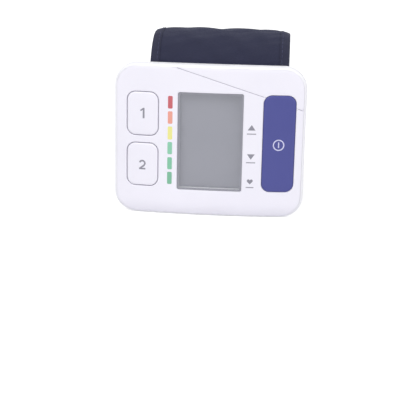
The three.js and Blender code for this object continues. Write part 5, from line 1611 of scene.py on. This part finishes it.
world = bpy.data.worlds.new("studio")
bpy.context.scene.world = world
world.use_nodes = True
tree = world.node_tree
tree.nodes.clear()
plain, white = tree.nodes.new("ShaderNodeBackground"), tree.nodes.new("ShaderNodeBackground")
chosen, world_out = tree.nodes.new("ShaderNodeMixShader"), tree.nodes.new("ShaderNodeOutputWorld")
for socket, value in (
        (plain.inputs["Strength"], 0.54), (plain.inputs["Color"], (1, 1, 1, 1)),
        (white.inputs["Color"], (1, 1, 1, 1)), (chosen.inputs[0], seen_directly(tree)),
        (chosen.inputs[1], plain.outputs[0]), (chosen.inputs[2], white.outputs[0]),
        (world_out.inputs[0], chosen.outputs[0])):
    feed(tree, socket, value)
floor_mesh = bpy.data.meshes.new("floor")
floor_mesh.from_pydata([(-6, -6, 0), (6, -6, 0), (6, 6, 0), (-6, 6, 0)], [], [(0, 1, 2, 3)])
floor = placed("floor", floor_mesh)
paper = bpy.data.materials.new("white_paper")
paper.use_nodes = True
tree = paper.node_tree
glow = maths(tree, "MULTIPLY", seen_directly(tree), 0.6)
for label, value in (("Base Color", screen(232, 232, 234)), ("Roughness", 0.9),
                     ("Specular IOR Level", 0.1), ("Emission Color", (1, 1, 1, 1)),
                     ("Emission Strength", glow)):
    feed(tree, tree.nodes["Principled BSDF"].inputs[label], value)
floor_mesh.materials.append(paper)
print("floor and world are in place")


# %% Lamps
def soft_lamp(name, place, size, watts):
    """A square lamp aimed at the middle of the object."""
    light = bpy.data.lights.new(name, "AREA")
    light.shape, light.size, light.energy = "SQUARE", size, watts
    lamp = placed(name, light)
    lamp.location = place
    aim = Vector((0, 0, 0.04)) - Vector(place)
    lamp.rotation_euler = aim.to_track_quat("-Z", "Y").to_euler()


soft_lamp("key_lamp", (-0.45, -0.95, 1.25), 0.9, 12.6)
soft_lamp("fill_lamp", (1.0, -0.7, 0.7), 0.9, 4.2)
bpy.context.scene.view_settings.view_transform = "Standard"

# %% [markdown]
# ## Camera
# The camera could be placed by eye, but a small error shows at once over a photograph. It was
# solved from points of the photograph whose places on the object are known. It looks down a little,
# from just right of the middle, through a long lens.

# %% Camera
TARGET = np.array([-3.3318, -45.0, 7.3880])
YAW, PITCH, ROLL, DISTANCE, LENS = -0.0812798, 0.2699997, 0.0203038, 500.0, 101.33
forward = np.array([math.sin(YAW) * math.cos(PITCH), math.cos(YAW) * math.cos(PITCH),
                    -math.sin(PITCH)])
level_right = np.array([math.cos(YAW), -math.sin(YAW), 0.0])
level_up = np.cross(level_right, forward)
right = math.cos(ROLL) * level_right + math.sin(ROLL) * level_up
up = -math.sin(ROLL) * level_right + math.cos(ROLL) * level_up
camera_data = bpy.data.cameras.new("camera")
camera_data.lens, camera_data.sensor_width, camera_data.sensor_fit = LENS, 36.0, "HORIZONTAL"
camera_data.clip_start, camera_data.clip_end = 0.01, 20.0
camera = placed("camera", camera_data)
turned = Matrix((right, up, -forward)).transposed().to_4x4()
camera.matrix_world = Matrix.Translation(Vector((TARGET - DISTANCE * forward) * MM)) @ turned
bpy.context.scene.camera = camera
print("camera at", [round(v, 4) for v in camera.location])
